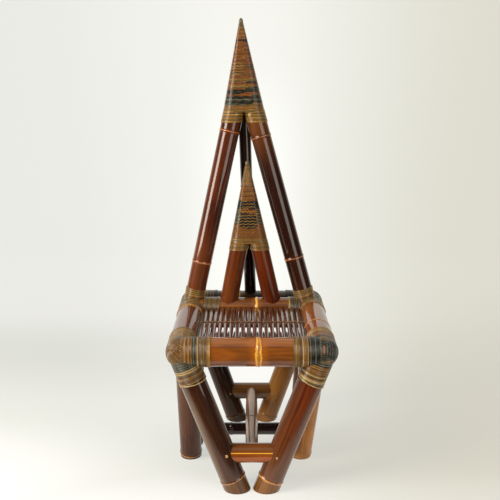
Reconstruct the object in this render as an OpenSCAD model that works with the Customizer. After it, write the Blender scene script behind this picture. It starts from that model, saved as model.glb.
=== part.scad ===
// Bamboo chair: a lashed seat frame on four V pairs of legs, with a tall tripod back and a small A frame.
// Millimetres. The floor is z = 0, the front faces -Y, and the origin is under the middle of the seat frame.

/* [Seat frame] */
// Distance between the corner centres across the chair
frame_w = 390; // [350:1:440]
// Distance between the corner centres from front to back
frame_d = 492; // [450:1:560]
// Height of the rail axes above the floor
rail_z = 409; // [370:1:450]
// Diameter of the seat rails
rail_dia = 80; // [74:1:86]
// Wall of the seat rails
rail_wall = 9; // [7:0.5:11]
// Gap between the rear rail and the inner rail in front of it
rail_pair_gap = 6; // [3:0.5:16]

/* [Legs] */
// Diameter of the front legs
front_leg_dia = 73; // [66:1:78]
// Diameter of the rear legs
rear_leg_dia = 67; // [60:1:74]
// Diameter of the side legs
side_leg_dia = 65; // [58:1:70]
// Wall of all the legs
leg_wall = 8; // [6:0.5:10]
// Half the distance between the front foot centres
front_foot_x = 42; // [41:0.5:60]
// Half the distance between the rear foot centres
rear_foot_x = 50; // [40:0.5:62]
// Half the distance between the foot centres on each side
side_foot_y = 42; // [37:0.5:58]
// Distance of a side leg's top from its corner centre, along the side rail
side_leg_set = 71; // [66:1:84]
// How far the left side legs stand inside the rail axis
left_leg_inset = 7; // [0:0.5:14]
// How far the right side legs stand inside the rail axis at their top
right_leg_inset = 9; // [0:0.5:14]
// How far the right side legs lean in from top to foot
right_leg_lean = 35; // [0:1:50]
// How far the rear feet stand in front of the rear rail's axis
rear_foot_in = 20; // [0:1:24]
// Height of the natural node that closes each front foot
foot_node = 34; // [28:1:42]
// Height of the natural node that closes each side and rear foot
low_node = 18; // [18:1:30]

/* [Stretchers] */
// Diameter of the four stretchers
stretcher_dia = 55; // [48:1:58]
// Wall of the four stretchers
stretcher_wall = 7; // [5:0.5:9]
// Height of the front stretcher's axis
front_stretcher_z = 109; // [96:1:124]
// Height of the rear stretcher's axis
rear_stretcher_z = 99; // [88:1:110]
// Height of the side stretchers' axes
side_stretcher_z = 67; // [60:1:76]
// Diameter of the two bars that cross under the seat
cross_bar_dia = 37.5; // [32:0.5:40]
// Diameter of the tenon plugged into each stretcher end
tenon_dia = 32; // [26:1:34]
// How far a tenon reaches into its leg, past the leg's near face
tenon_reach = 42; // [36:1:48]
// Diameter of the pegs that lock the tenons
peg_dia = 8.5; // [6:0.5:10]

/* [Tall back] */
// Diameter of the two front posts of the tripod
tall_post_dia = 62; // [56:1:66]
// Diameter of the rear post of the tripod
rear_post_dia = 38; // [32:1:44]
// Wall of the tall posts
tall_post_wall = 8; // [6:0.5:10]
// How far each tall post stands inside its side rail's axis
tall_post_inset = 9; // [4:1:16]
// Extra inward shift of the right tall post
tall_post_offset = 13; // [0:1:16]
// How far the tall posts stand behind the inner rail's axis
tall_post_back = 8; // [0:1:12]
// Height where the axes of the three posts meet
tall_meet_z = 1173; // [1080:1:1260]
// Sideways lean of the meeting point
tall_meet_x = -28; // [-40:1:0]
// Distance of the meeting point behind the seat's middle
tall_meet_y = 195; // [180:1:215]
// Height of the wrapped spire above the fork
tall_spire_h = 281; // [240:1:330]
// Sideways lean of the spire's tip
tall_tip_x = -33; // [-45:1:0]

/* [Small back] */
// Diameter of the two posts of the A frame
small_post_dia = 57; // [50:1:60]
// Wall of the small posts
small_post_wall = 7; // [5:0.5:9]
// Half the distance between the small posts at the inner rail's top
small_post_half = 68; // [60:1:76]
// Height where the axes of the small posts meet
small_meet_z = 775; // [720:1:840]
// Sideways place of the small posts' meeting point
small_meet_x = -11; // [-24:1:6]
// Distance of the small meeting point behind the inner rail's axis
small_meet_back = 10; // [0:1:14]
// Height of the small wrapped spire above the fork
small_spire_h = 258; // [220:1:290]
// Sideways place of the small spire's tip
small_tip_x = -14; // [-28:1:6]

/* [Seat] */
// Number of split slats
slat_count = 18; // [13:1:18]
// Distance from one slat to the next
slat_pitch = 17; // [15:0.5:17.5]
// Gap between the slats where they are tied and at their ends
slat_gap = 1.6; // [1:0.2:3]
// Extra gap halfway between the ties, on each side of a slat
slat_waist = 1.9; // [0.5:0.1:2.5]
// Thickness of a slat at its crown
slat_t = 8; // [6:0.5:10]
// Height of the slats' crowns above the rail axes
slat_rise = 18; // [15:0.5:22]
// Distance of the tie and its batten in front of the seat's middle
tie_front = 31; // [0:1:60]
// Diameter of the batten under the slats
batten_dia = 10; // [7:0.5:13]
// Diameter of the tie cane
tie_dia = 2.4; // [1.6:0.1:3.2]

/* [Cane bindings] */
// Thickness of a binding
cane_t = 2; // [1.4:0.1:3]
// Width of the cane
cane_w = 6; // [4:0.5:8]
// Length of the binding on the front and rear rails, from the corner centre
rail_bind = 82; // [74:1:100]
// Length of the binding on the side rails, from the front corner centres
side_bind = 94; // [84:1:110]
// Length of the rear binding on the left side rail, from the corner centre
left_rear_bind = 168; // [160:1:185]
// Length of the rear binding on the right side rail, from the corner centre
right_rear_bind = 134; // [130:1:160]
// Length of the binding on each leg, from the rail axis
leg_bind = 94; // [84:1:110]
// Length of the binding on each end of the inner rail, from the side rail's axis
inner_bind = 76; // [70:1:90]
// Height of the binding round each tall post's foot, above the rail's top
post_bind = 31; // [20:1:50]
// Length of the separate bindings below each fork
fork_bind = 30; // [16:1:40]

/* [Hidden] */
$fn = 48;

// Clearances
fit = 0.1;          // between a pin or plug and its hole, on the radius
skin = 0.1;         // between a binding and the culm that it holds
cut = 1;            // how far a cutter runs past a face
reach = 600;        // half size of a large cutting block

// Culm details
ridge_h = 1.3;      // height of the ring at a natural node
ridge_w = 5;        // half width of that ring
wall_t = 6;         // thickness of the diaphragm inside a node

// Radii
rail_r = rail_dia / 2;
front_leg_r = front_leg_dia / 2;
rear_leg_r = rear_leg_dia / 2;
side_leg_r = side_leg_dia / 2;
stretcher_r = stretcher_dia / 2;
bar_r = cross_bar_dia / 2;
tall_r = tall_post_dia / 2;
rear_post_r = rear_post_dia / 2;
small_r = small_post_dia / 2;
ball_r = rail_r + cane_t + 0.8;
bead_w = 1.5 * cane_w;
bead_t = cane_t + 0.8;

// Places
half_w = frame_w / 2;
half_d = frame_d / 2;
inner_y = half_d - rail_dia - rail_pair_gap;
rail_top = rail_z + rail_r;
spigot_len = side_leg_set + 32;
rear_spigot_len = half_d - inner_y + 32;
pin_r = 11;
pin_end = 18;       // distance of a pin's end from the rail axis
plug_end = 24;      // distance of the inner rail's end plugs from the side rails' axes
plug_len = 62;      // length of a plug inside a culm
spire_plug = 48;    // the same under a spire

// Axis points of the legs: top on the rail axis, foot on the floor
function front_leg_top(s) = [s * half_w, -half_d, rail_z];
function front_leg_foot(s) = [s * front_foot_x, -half_d, 0];
function rear_leg_top(s) = [s * half_w, half_d, rail_z];
function rear_leg_foot(s) = [s * rear_foot_x, half_d - rear_foot_in, 0];
function side_inset(s) = s < 0 ? left_leg_inset : right_leg_inset;
function side_lean(s) = s < 0 ? 0 : right_leg_lean;
function side_leg_top(s, f) = [s * (half_w - side_inset(s)), f * (half_d - side_leg_set), rail_z];
function side_leg_foot(s, f) = [s * (half_w - side_inset(s) - side_lean(s)), f * side_foot_y, 0];

// Axis points of the back posts: foot at the height of the rail tops, and the meeting points
tall_meet = [tall_meet_x, tall_meet_y, tall_meet_z];
small_meet = [small_meet_x, inner_y + small_meet_back, small_meet_z];
function tall_foot(s) = [s * (half_w - tall_post_inset) - (s > 0 ? tall_post_offset : 0),
    inner_y + tall_post_back, rail_top];
rear_post_foot = [-4, half_d, rail_top];
function small_foot(s) = [-4 + s * small_post_half, inner_y, rail_top];

// Points along a line
function unit(v) = v / norm(v);
function along(p, q, s) = p + s * unit(q - p);
function at_z(p, q, z) = p + (z - p[2]) / (q[2] - p[2]) * (q - p);
function lean(p, q) = acos(abs(q[2] - p[2]) / norm(q - p));

// Height of a fork: where the posts come within a small gap of each other
fork_gap = 1.5;
function fork_z(l, r, meet, rad) = meet[2] - (2 * rad / cos(lean(l, meet)) + fork_gap)
    * (meet[2] - l[2]) / (r[0] - l[0]);
tall_fork_z = fork_z(tall_foot(-1), tall_foot(1), tall_meet, tall_r);
small_fork_z = fork_z(small_foot(-1), small_foot(1), small_meet, small_r);
tall_tip = [tall_tip_x, tall_meet_y, tall_fork_z + tall_spire_h];
small_tip = [small_tip_x, small_meet[1] + 4, small_fork_z + small_spire_h];
tip_r = 2.5;

// Height of the stretcher axes, and the legs' places at that height
long_bar_front = [0, -half_d, front_stretcher_z];
long_bar_rear = [0, half_d - rear_foot_in * (1 - rear_stretcher_z / rail_z), rear_stretcher_z];
function side_x(s, z) = at_z(side_leg_foot(s, 1), side_leg_top(s, 1), z)[0];

// Colours
culm_dark = [0.27, 0.09, 0.05];
culm_amber = [0.55, 0.27, 0.09];
culm_gold = [0.50, 0.30, 0.12];
cane_tan = [0.50, 0.37, 0.19];
wood_pale = [0.72, 0.55, 0.33];

// Puts a child that stands on z = 0 along the line from p to q. Where the line leans two ways, the child is turned
// about it, so that no seam of a round face lies in the plane of the lean
seam_turn = 25;
module place(p, q) {
    d = q - p;
    two_ways = abs(d[0]) > 0.001 && abs(d[1]) > 0.001;
    translate(p) rotate([0, acos(d[2] / norm(d)), atan2(d[1], d[0])])
        rotate([0, 0, two_ways ? seam_turn : 0]) children();
}

module rod(p, q, r) {
    place(p, q) cylinder(h = norm(q - p), r = r);
}

// A hollow culm from p to q: rings at its nodes, a diaphragm in each, open ends
module culm(p, q, r, wall, nodes) {
    len = norm(q - p);
    ends = concat([-cut - wall_t / 2], nodes, [len + cut + wall_t / 2]);
    profile = concat([[0, 0], [r, 0]],
        [for (n = nodes) each [[r, n - ridge_w], [r + ridge_h, n - ridge_w / 3],
            [r + ridge_h, n + ridge_w / 3], [r, n + ridge_w]]],
        [[r, len], [0, len]]);
    place(p, q) difference() {
        rotate_extrude() polygon(profile);
        for (i = [0 : len(ends) - 2])
            translate([0, 0, ends[i] + wall_t / 2])
                cylinder(h = ends[i + 1] - ends[i] - wall_t, r = r - wall);
    }
}

// Frame of one corner: x runs inward along the cross rail, y inward along the side rail
module corner(s, f) {
    translate([s * half_w, f * half_d, rail_z])
        mirror([s > 0 ? 1 : 0, 0, 0])
            mirror([0, f > 0 ? 1 : 0, 0])
                children();
}

// Block behind the mitre plane of a corner, on the side rail's side or on the cross rail's side
module mitre_block(side) {
    rotate([0, 0, 45]) translate([-reach, side > 0 ? 0 : -reach, -reach]) cube([2 * reach, reach, 2 * reach]);
}

// Space taken by the seat frame's culms, for the copes of what stands under or on them
module rail_space(gap) {
    long_x = half_w + rail_r;
    long_y = half_d + rail_r;
    for (y = [-half_d, half_d])
        rod([-long_x, y, rail_z], [long_x, y, rail_z], rail_r + gap);
    inner_x = half_w - plug_end + gap;
    rod([-inner_x, inner_y, rail_z], [inner_x, inner_y, rail_z], rail_r + gap);
    for (s = [-1, 1])
        rod([s * half_w, -long_y, rail_z], [s * half_w, long_y, rail_z], rail_r + gap);
}

// One leg pin: a plug in the leg's bore and a pin up into the rail
module pin(top, foot, r, wall, gap) {
    a = lean(foot, top);
    seat = (rail_r + (r - wall) * sin(a)) / cos(a) + 2;
    rod(along(top, foot, pin_end - gap), along(top, foot, seat + cut), pin_r + gap);
    rod(along(top, foot, seat - gap), along(top, foot, seat + plug_len), r - wall - fit + gap);
}

module all_leg_pins(gap) {
    for (s = [-1, 1]) {
        pin(front_leg_top(s), front_leg_foot(s), front_leg_r, leg_wall, gap);
        pin(rear_leg_top(s), rear_leg_foot(s), rear_leg_r, leg_wall, gap);
        for (f = [-1, 1]) pin(side_leg_top(s, f), side_leg_foot(s, f), side_leg_r, leg_wall, gap);
    }
}

// One post pin: the same, turned up into a post
module post_pin(foot, meet, r, wall, gap) {
    a = lean(foot, meet);
    start = at_z(foot, meet, rail_z);
    seat = (rail_r + (r - wall) * sin(a)) / cos(a) + 2;
    rod(along(start, meet, pin_end - gap), along(start, meet, seat + cut), min(pin_r, r - wall - 2) + gap);
    rod(along(start, meet, seat - gap), along(start, meet, seat + plug_len), r - wall - fit + gap);
}

module all_post_pins(gap) {
    for (s = [-1, 1]) {
        post_pin(tall_foot(s), tall_meet, tall_r, tall_post_wall, gap);
        post_pin(small_foot(s), small_meet, small_r, small_post_wall, gap);
    }
    post_pin(rear_post_foot, tall_meet, rear_post_r, tall_post_wall, gap);
}

// Slat outline across its width, flat below and crowned above
slat_w = slat_pitch - slat_gap;
slat_crown = 0.62 * slat_w + slat_t / 2;
slat_seat = 6;
slat_offset = sqrt(rail_r * rail_r - slat_rise * slat_rise) - slat_seat;
slat_y0 = -half_d + slat_offset;
slat_y1 = inner_y - slat_offset;
slat_base_z = rail_z + slat_rise - slat_t;
function slat_x(i) = (i - (slat_count - 1) / 2) * slat_pitch;

module slat_bar() {
    translate([0, slat_y1, slat_base_z]) rotate([90, 0, 0])
        linear_extrude(height = slat_y1 - slat_y0)
            intersection() {
                translate([0, slat_t - slat_crown]) circle(r = slat_crown);
                translate([-slat_w / 2, 0]) square([slat_w, slat_t]);
            }
}

// Long hollow cut in a slat's edges between two tied places
module waist_cut(y0, y1) {
    half = (y1 - y0) / 2;
    round_r = (half * half + slat_waist * slat_waist) / (2 * slat_waist);
    for (s = [-1, 1])
        translate([s * (slat_w / 2 - slat_waist + round_r), (y0 + y1) / 2, slat_base_z - cut])
            cylinder(h = slat_t + 2 * cut, r = round_r, $fn = 360);
}

module slat_mortises() {
    for (i = [0 : slat_count - 1])
        translate([slat_x(i) - slat_w / 2 - fit, slat_y0 - fit, slat_base_z - fit])
            cube([slat_w + 2 * fit, slat_y1 - slat_y0 + 2 * fit, slat_t + 2 * fit]);
}

// Batten under the slats, let into the side rails
batten_r = batten_dia / 2;
batten_z = slat_base_z - batten_r;
batten_half = half_w - sqrt(rail_r * rail_r - pow(batten_z - rail_z, 2)) + slat_seat;

module batten_rod(gap) {
    rod([-batten_half - gap, -tie_front, batten_z], [batten_half + gap, -tie_front, batten_z], batten_r + gap);
}

// Spigoted block that fills a corner of the seat frame; a cube joins its ball to its spigots
core_knot = 30;
module core_block(long) {
    intersection() {
        sphere(r = rail_r - skin);
        translate([-reach - fit, -reach - fit, -reach]) cube([reach, reach, 2 * reach]);
    }
    cube(core_knot, center = true);
    rotate([0, 90, 0]) cylinder(h = rail_bind, r = rail_r - rail_wall - fit);
    rotate([-90, 0, 0]) cylinder(h = long, r = rail_r - rail_wall - fit);
}

module core_at(s, f) {
    difference() {
        corner(s, f) core_block(f < 0 ? spigot_len : rear_spigot_len);
        all_leg_pins(fit);
        all_post_pins(fit);
        inner_tenons(fit);
    }
}

// Plugs in the ends of the inner rail, let into the side rails
module inner_tenons(gap) {
    face = half_w - rail_r - 2 * cut;
    for (s = [-1, 1]) {
        rod([s * (half_w - plug_end + gap), inner_y, rail_z], [s * (face - cut), inner_y, rail_z], pin_r + gap);
        rod([s * face, inner_y, rail_z], [s * (face - plug_len / 2), inner_y, rail_z], rail_r - rail_wall - fit);
    }
}

// Seat frame
module side_rail(s, nodes) {
    difference() {
        culm([s * half_w, -half_d, rail_z], [s * half_w, half_d, rail_z], rail_r, rail_wall, nodes);
        for (f = [-1, 1]) corner(s, f) translate([-fit, 0, 0]) mitre_block(-1);
        all_leg_pins(fit);
        all_post_pins(fit);
        inner_tenons(fit);
        batten_rod(fit);
        slat_mortises();
    }
}

module cross_rail(y, f, nodes) {
    difference() {
        culm([-half_w, y, rail_z], [half_w, y, rail_z], rail_r, rail_wall, nodes);
        for (s = [-1, 1]) corner(s, f) translate([fit, 0, 0]) mitre_block(1);
        all_leg_pins(fit);
        all_post_pins(fit);
        if (f < 0) slat_mortises();
    }
}

module front_rail() {
    color(culm_amber) cross_rail(-half_d, -1, [half_w + 18]);
}

module rear_rail() {
    color(culm_amber) cross_rail(half_d, 1, [half_w - 40]);
}

module left_rail() {
    color(culm_dark) side_rail(-1, [frame_d - left_rear_bind - ridge_w - 1]);
}

module right_rail() {
    color(culm_dark) side_rail(1, [half_d - 74]);
}

// The inner rail is coped between the side rails; its end plugs carry it
module inner_rail() {
    color(culm_amber) {
        difference() {
            culm([plug_end - half_w, inner_y, rail_z], [half_w - plug_end, inner_y, rail_z], rail_r, rail_wall,
                [half_w - plug_end + 16]);
            for (s = [-1, 1])
                rod([s * half_w, -half_d, rail_z], [s * half_w, half_d, rail_z], rail_r + fit);
            all_post_pins(fit);
            slat_mortises();
        }
    }
}

// Legs
module leg(top, foot, r, ring_z) {
    color(culm_dark) difference() {
        culm(along(foot, top, -r), top, r, leg_wall, [ring_z / cos(lean(foot, top)) + r]);
        translate([-reach, -reach, -2 * reach]) cube([2 * reach, 2 * reach, 2 * reach]);
        translate([-reach, -reach, rail_z - 0.35 * rail_r]) cube([2 * reach, 2 * reach, reach]);
        rail_space(fit);
        all_tenons(fit);
        all_pegs(0.05);
    }
}

module front_left_leg() {
    leg(front_leg_top(-1), front_leg_foot(-1), front_leg_r, foot_node);
}

module front_right_leg() {
    leg(front_leg_top(1), front_leg_foot(1), front_leg_r, foot_node);
}

module rear_left_leg() {
    leg(rear_leg_top(-1), rear_leg_foot(-1), rear_leg_r, low_node);
}

module rear_right_leg() {
    leg(rear_leg_top(1), rear_leg_foot(1), rear_leg_r, low_node);
}

module left_front_leg() {
    leg(side_leg_top(-1, -1), side_leg_foot(-1, -1), side_leg_r, low_node);
}

module left_rear_leg() {
    leg(side_leg_top(-1, 1), side_leg_foot(-1, 1), side_leg_r, low_node);
}

module right_front_leg() {
    leg(side_leg_top(1, -1), side_leg_foot(1, -1), side_leg_r, low_node);
}

module right_rear_leg() {
    leg(side_leg_top(1, 1), side_leg_foot(1, 1), side_leg_r, low_node);
}

// Stretchers: each end is coped to its leg and held by a plugged tenon and a peg
tenon_r = tenon_dia / 2;
tenon_plug = 24;
peg_r = peg_dia / 2;
peg_in = 12;        // distance of a peg from the leg's axis, towards the stretcher
peg_proud = 0.5;
function peg_rise(s) = s < 0 ? 6 : -1;     // height of a front peg above its tenon's axis

// Point on a leg's axis at height z
function front_axis(s, z) = at_z(front_leg_foot(s), front_leg_top(s), z);
function rear_axis(s, z) = at_z(rear_leg_foot(s), rear_leg_top(s), z);
function side_axis(s, f, z) = at_z(side_leg_foot(s, f), side_leg_top(s, f), z);

module tenon(axis_point, dir, leg_r, a, gap) {
    face = leg_r / cos(a);
    plug_r = stretcher_r - stretcher_wall - fit;
    plug = face + plug_r * tan(a) + 1;
    rod(axis_point + dir * (face - tenon_reach - gap), axis_point + dir * (plug + cut), tenon_r + gap);
    rod(axis_point + dir * plug, axis_point + dir * (face + tenon_plug), plug_r);
}

module all_tenons(gap) {
    for (s = [-1, 1]) {
        tenon(front_axis(s, front_stretcher_z), [-s, 0, 0], front_leg_r,
            lean(front_leg_foot(s), front_leg_top(s)), gap);
        tenon(rear_axis(s, rear_stretcher_z), [-s, 0, 0], rear_leg_r,
            lean(rear_leg_foot(s), rear_leg_top(s)), gap);
        for (f = [-1, 1])
            tenon(side_axis(s, f, side_stretcher_z), [0, -f, 0], side_leg_r,
                lean(side_leg_foot(s, f), side_leg_top(s, f)), gap);
    }
}

module peg(point, dir, half, gap) {
    rod(point - dir * (half + gap), point + dir * (half + gap), peg_r + gap);
}

module all_pegs(gap) {
    front_half = sqrt(pow(front_leg_r, 2) - pow(peg_in, 2)) + peg_proud;
    rear_half = sqrt(pow(rear_leg_r, 2) - pow(peg_in, 2)) + peg_proud;
    side_half = sqrt(pow(side_leg_r, 2) - pow(peg_in, 2)) + peg_proud;
    for (s = [-1, 1]) {
        peg(front_axis(s, front_stretcher_z) + [-s * peg_in, 0, peg_rise(s)], [0, 1, 0], front_half, gap);
        peg(rear_axis(s, rear_stretcher_z) + [-s * peg_in, 0, 0], [0, 1, 0], rear_half, gap);
        for (f = [-1, 1])
            peg(side_axis(s, f, side_stretcher_z) + [0, -f * peg_in, 0], [1, 0, 0], side_half, gap);
    }
}

module leg_space(foot, top, r, ring_z) {
    ring = ring_z / cos(lean(foot, top));
    rod(along(foot, top, -r), top, r + fit);
    rod(along(foot, top, ring - ridge_w), along(foot, top, ring + ridge_w), r + ridge_h + fit);
}

module stretcher(p, q, feet, tops, leg_r, ring_z) {
    difference() {
        culm(p, q, stretcher_r, stretcher_wall, []);
        for (i = [0, 1]) leg_space(feet[i], tops[i], leg_r, ring_z);
        cross_bars(fit);
    }
}

module front_stretcher() {
    color(culm_amber)
        stretcher(front_axis(-1, front_stretcher_z), front_axis(1, front_stretcher_z),
            [front_leg_foot(-1), front_leg_foot(1)], [front_leg_top(-1), front_leg_top(1)], front_leg_r,
            foot_node);
}

module rear_stretcher() {
    color(culm_dark)
        stretcher(rear_axis(-1, rear_stretcher_z), rear_axis(1, rear_stretcher_z),
            [rear_leg_foot(-1), rear_leg_foot(1)], [rear_leg_top(-1), rear_leg_top(1)], rear_leg_r, low_node);
}

module side_stretcher(s) {
    color(culm_dark)
        stretcher(side_axis(s, -1, side_stretcher_z), side_axis(s, 1, side_stretcher_z),
            [side_leg_foot(s, -1), side_leg_foot(s, 1)], [side_leg_top(s, -1), side_leg_top(s, 1)], side_leg_r,
            low_node);
}

module left_stretcher() {
    side_stretcher(-1);
}

module right_stretcher() {
    side_stretcher(1);
}

// The two bars that cross under the seat end in the stretchers' walls
bar_seat = 14;      // how far a bar's end stands inside its stretcher's face
long_bar_a = along(long_bar_front, long_bar_rear, stretcher_r - bar_seat);
long_bar_b = along(long_bar_rear, long_bar_front, stretcher_r - bar_seat);
wide_bar_a = [side_x(-1, side_stretcher_z) + stretcher_r - bar_seat, 0, side_stretcher_z];
wide_bar_b = [side_x(1, side_stretcher_z) - stretcher_r + bar_seat, 0, side_stretcher_z];

module cross_bars(gap) {
    rod(along(long_bar_a, long_bar_b, -gap), along(long_bar_b, long_bar_a, -gap), bar_r + gap);
    rod(wide_bar_a - [gap, 0, 0], wide_bar_b + [gap, 0, 0], bar_r + gap);
}

module long_cross_bar() {
    color(culm_dark)
        culm(long_bar_a, long_bar_b, bar_r, 0.3 * bar_r, [0.46 * norm(long_bar_b - long_bar_a)]);
}

module wide_cross_bar() {
    color(culm_dark) difference() {
        culm(wide_bar_a, wide_bar_b, bar_r, 0.3 * bar_r, [0.35 * norm(wide_bar_b - wide_bar_a)]);
        rod(long_bar_a, long_bar_b, bar_r + fit);
    }
}

// Back posts; their nodes are given as shares of the length up to the meeting point
module post(foot, meet, top_z, r, wall, shares) {
    start = at_z(foot, meet, rail_z);
    color(culm_dark) difference() {
        culm(start, along(meet, start, -r), r, wall, [for (k = shares) k * norm(meet - start)]);
        translate([-reach, -reach, top_z - fit]) cube([2 * reach, 2 * reach, 2 * reach]);
        translate([-reach, -reach, -2 * reach + rail_z + 0.2 * rail_r]) cube([2 * reach, 2 * reach, 2 * reach]);
        rail_space(fit);
    }
}

module tall_left_post() {
    post(tall_foot(-1), tall_meet, tall_fork_z, tall_r, tall_post_wall, [0.207, 0.751]);
}

module tall_right_post() {
    post(tall_foot(1), tall_meet, tall_fork_z, tall_r, tall_post_wall, [0.226, 0.729]);
}

module tall_rear_post() {
    difference() {
        post(rear_post_foot, tall_meet, tall_fork_z, rear_post_r, tall_post_wall, [0.52]);
        for (s = [-1, 1]) rod(tall_foot(s), along(tall_meet, tall_foot(s), -tall_r), tall_r + cane_t + fit);
    }
}

module small_left_post() {
    post(small_foot(-1), small_meet, small_fork_z, small_r, small_post_wall, []);
}

module small_right_post() {
    post(small_foot(1), small_meet, small_fork_z, small_r, small_post_wall, []);
}

// Spires: a shaped block on the forked post tops, its spigots in their bores
module spire_form(foot, meet, fork, tip, r, grow) {
    hull() {
        for (s = [0, 1])
            translate(at_z(foot[s], meet, fork)) cylinder(h = 0.5, r = r + grow);
        translate(tip - [0, 0, tip_r]) sphere(r = tip_r + grow, $fn = 24);
    }
}

module spigot(foot, meet, fork, r) {
    p = at_z(foot, meet, fork);
    rod(along(p, foot, spire_plug), along(p, meet, r), r);
}

module spire_core(foot, meet, fork, tip, r, wall) {
    spire_form(foot, meet, fork, tip, r, 0);
    for (s = [0, 1])
        spigot(foot[s], meet, fork, r - wall - fit);
}

tall_feet = [tall_foot(-1), tall_foot(1)];
small_feet = [small_foot(-1), small_foot(1)];

module tall_spire_core() {
    color(wood_pale) spire_core(tall_feet, tall_meet, tall_fork_z, tall_tip, tall_r, tall_post_wall);
}

module small_spire_core() {
    color(wood_pale) spire_core(small_feet, small_meet, small_fork_z, small_tip, small_r, small_post_wall);
}

// Cane on both posts below the fork
module fork_sleeves(foot, meet, fork, r) {
    difference() {
        for (s = [0, 1])
            rod(at_z(foot[s], meet, fork - fork_bind), at_z(foot[s], meet, fork + r), r + cane_t);
        for (s = [0, 1])
            rod(at_z(foot[s], meet, fork - fork_bind - r), at_z(foot[s], meet, fork + 2 * r), r + skin);
        translate([-reach, -reach, fork - fit]) cube([2 * reach, 2 * reach, 2 * reach]);
    }
}

// Wound cane on a spire, over its plain core: one unbroken strand, each turn two canes wide.
// Its turns lie between two level lines, so the first and the last one taper to nothing.
wind_steps = 16;
wind_gap = 0.8;     // between one turn and the next
wind_end = 0.8;     // width of the strand's two ends
cap_len = 24;       // length of the plain cap at the tip

// Line up the wound surface at angle a: its base point, its tip point
function wind_r(r) = (r + 2 * skin) / cos(180 / wind_steps);
function wind_line(s, a) = [at_z(s[0][cos(a) < 0 ? 0 : 1], s[1], s[2]) + wind_r(s[4]) * [cos(a), sin(a), 0],
    s[3] - [0, 0, tip_r] + wind_r(tip_r) * [cos(a), sin(a), 0]];
function outward(v, a) = unit([cos(a), sin(a), 0] - ([cos(a), sin(a), 0] * v) * v);

// The six corners of the strand's section at angle a, between heights lo and hi above the fork
function wind_ring(line, a, lo, hi) = let (
    u = unit(line[1] - line[0]),
    n = outward(u, a),
    p = line[0] + lo / u[2] * u,
    q = line[0] + hi / u[2] * u,
    e = (hi - lo) / 5 * u)
    [p, p + cane_t / 2 * n, p + e + cane_t * n, q - e + cane_t * n, q + cane_t / 2 * n, q];

function wind_high(s) = s[3][2] - s[2] - cap_len;
function wind_points(s, loops) = let (
    pitch = wind_high(s) / (loops - 1),
    first = (wind_end + wind_gap / 2) / pitch,
    last = floor((loops - 2 * first) * wind_steps))
    [for (i = [0 : last]) let (a = 360 * (i + 0.5) / wind_steps, turn = first + i / wind_steps)
        each wind_ring(wind_line(s, a), a, max(0, (turn - 1) * pitch + wind_gap / 2),
            min(wind_high(s), turn * pitch - wind_gap / 2))];

module strand(points) {
    last = len(points) / 6 - 1;
    polyhedron(points, concat([[5, 4, 3, 2, 1, 0], [for (k = [0 : 5]) 6 * last + k]],
        [for (i = [0 : last - 1]) for (k = [0 : 5]) let (m = (k + 1) % 6)
            each [[6 * i + k, 6 * i + m, 6 * i + 6 + m], [6 * i + k, 6 * i + 6 + m, 6 * i + 6 + k]]]));
}

// Least distance between one turn's upper edge and the next one's lower edge
function strand_gap(points) = min([for (i = [0 : len(points) / 6 - 1 - wind_steps])
    each [for (k = [4, 5]) for (m = [0, 1]) norm(points[6 * i + k] - points[6 * (i + wind_steps) + m])]]);

module spire_cap(foot, meet, fork, tip, r, grow) {
    base = tip[2] - cap_len;
    part = cap_len / (tip[2] - fork);
    hull() {
        for (s = [0, 1]) {
            p = at_z(foot[s], meet, fork);
            translate([tip[0] + part * (p[0] - tip[0]), tip[1] + part * (p[1] - tip[1]), base])
                cylinder(h = 0.5, r = tip_r + part * (r - tip_r) + grow);
        }
        translate(tip - [0, 0, tip_r]) sphere(r = tip_r + grow, $fn = 24);
    }
}

module spire_binding(foot, meet, fork, tip, r, points) {
    color(cane_tan) {
        fork_sleeves(foot, meet, fork, r);
        strand(points);
        difference() {
            translate([0, 0, wind_gap]) spire_cap(foot, meet, fork, tip, r, cane_t);
            spire_form(foot, meet, fork, tip, r, skin);
        }
    }
}

// Loops of the two strands, their points, and the least gap of each to itself
tall_strand = wind_points([tall_feet, tall_meet, tall_fork_z, tall_tip, tall_r], 24);
small_strand = wind_points([small_feet, small_meet, small_fork_z, small_tip, small_r], 20);
echo(least_gap_tall = strand_gap(tall_strand), least_gap_small = strand_gap(small_strand));

module tall_spire_binding() {
    spire_binding(tall_feet, tall_meet, tall_fork_z, tall_tip, tall_r, tall_strand);
}

module small_spire_binding() {
    spire_binding(small_feet, small_meet, small_fork_z, small_tip, small_r, small_strand);
}

// Corner cores
module front_left_core() {
    color(wood_pale) core_at(-1, -1);
}

module front_right_core() {
    color(wood_pale) core_at(1, -1);
}

module rear_left_core() {
    color(wood_pale) core_at(-1, 1);
}

module rear_right_core() {
    color(wood_pale) core_at(1, 1);
}

// Sleeve of cane with a raised last turn, standing on z = 0
module sleeve(len, r) {
    cylinder(h = len, r = r + cane_t);
    translate([0, 0, len - bead_w]) cylinder(h = bead_w, r = r + bead_t);
}

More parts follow.
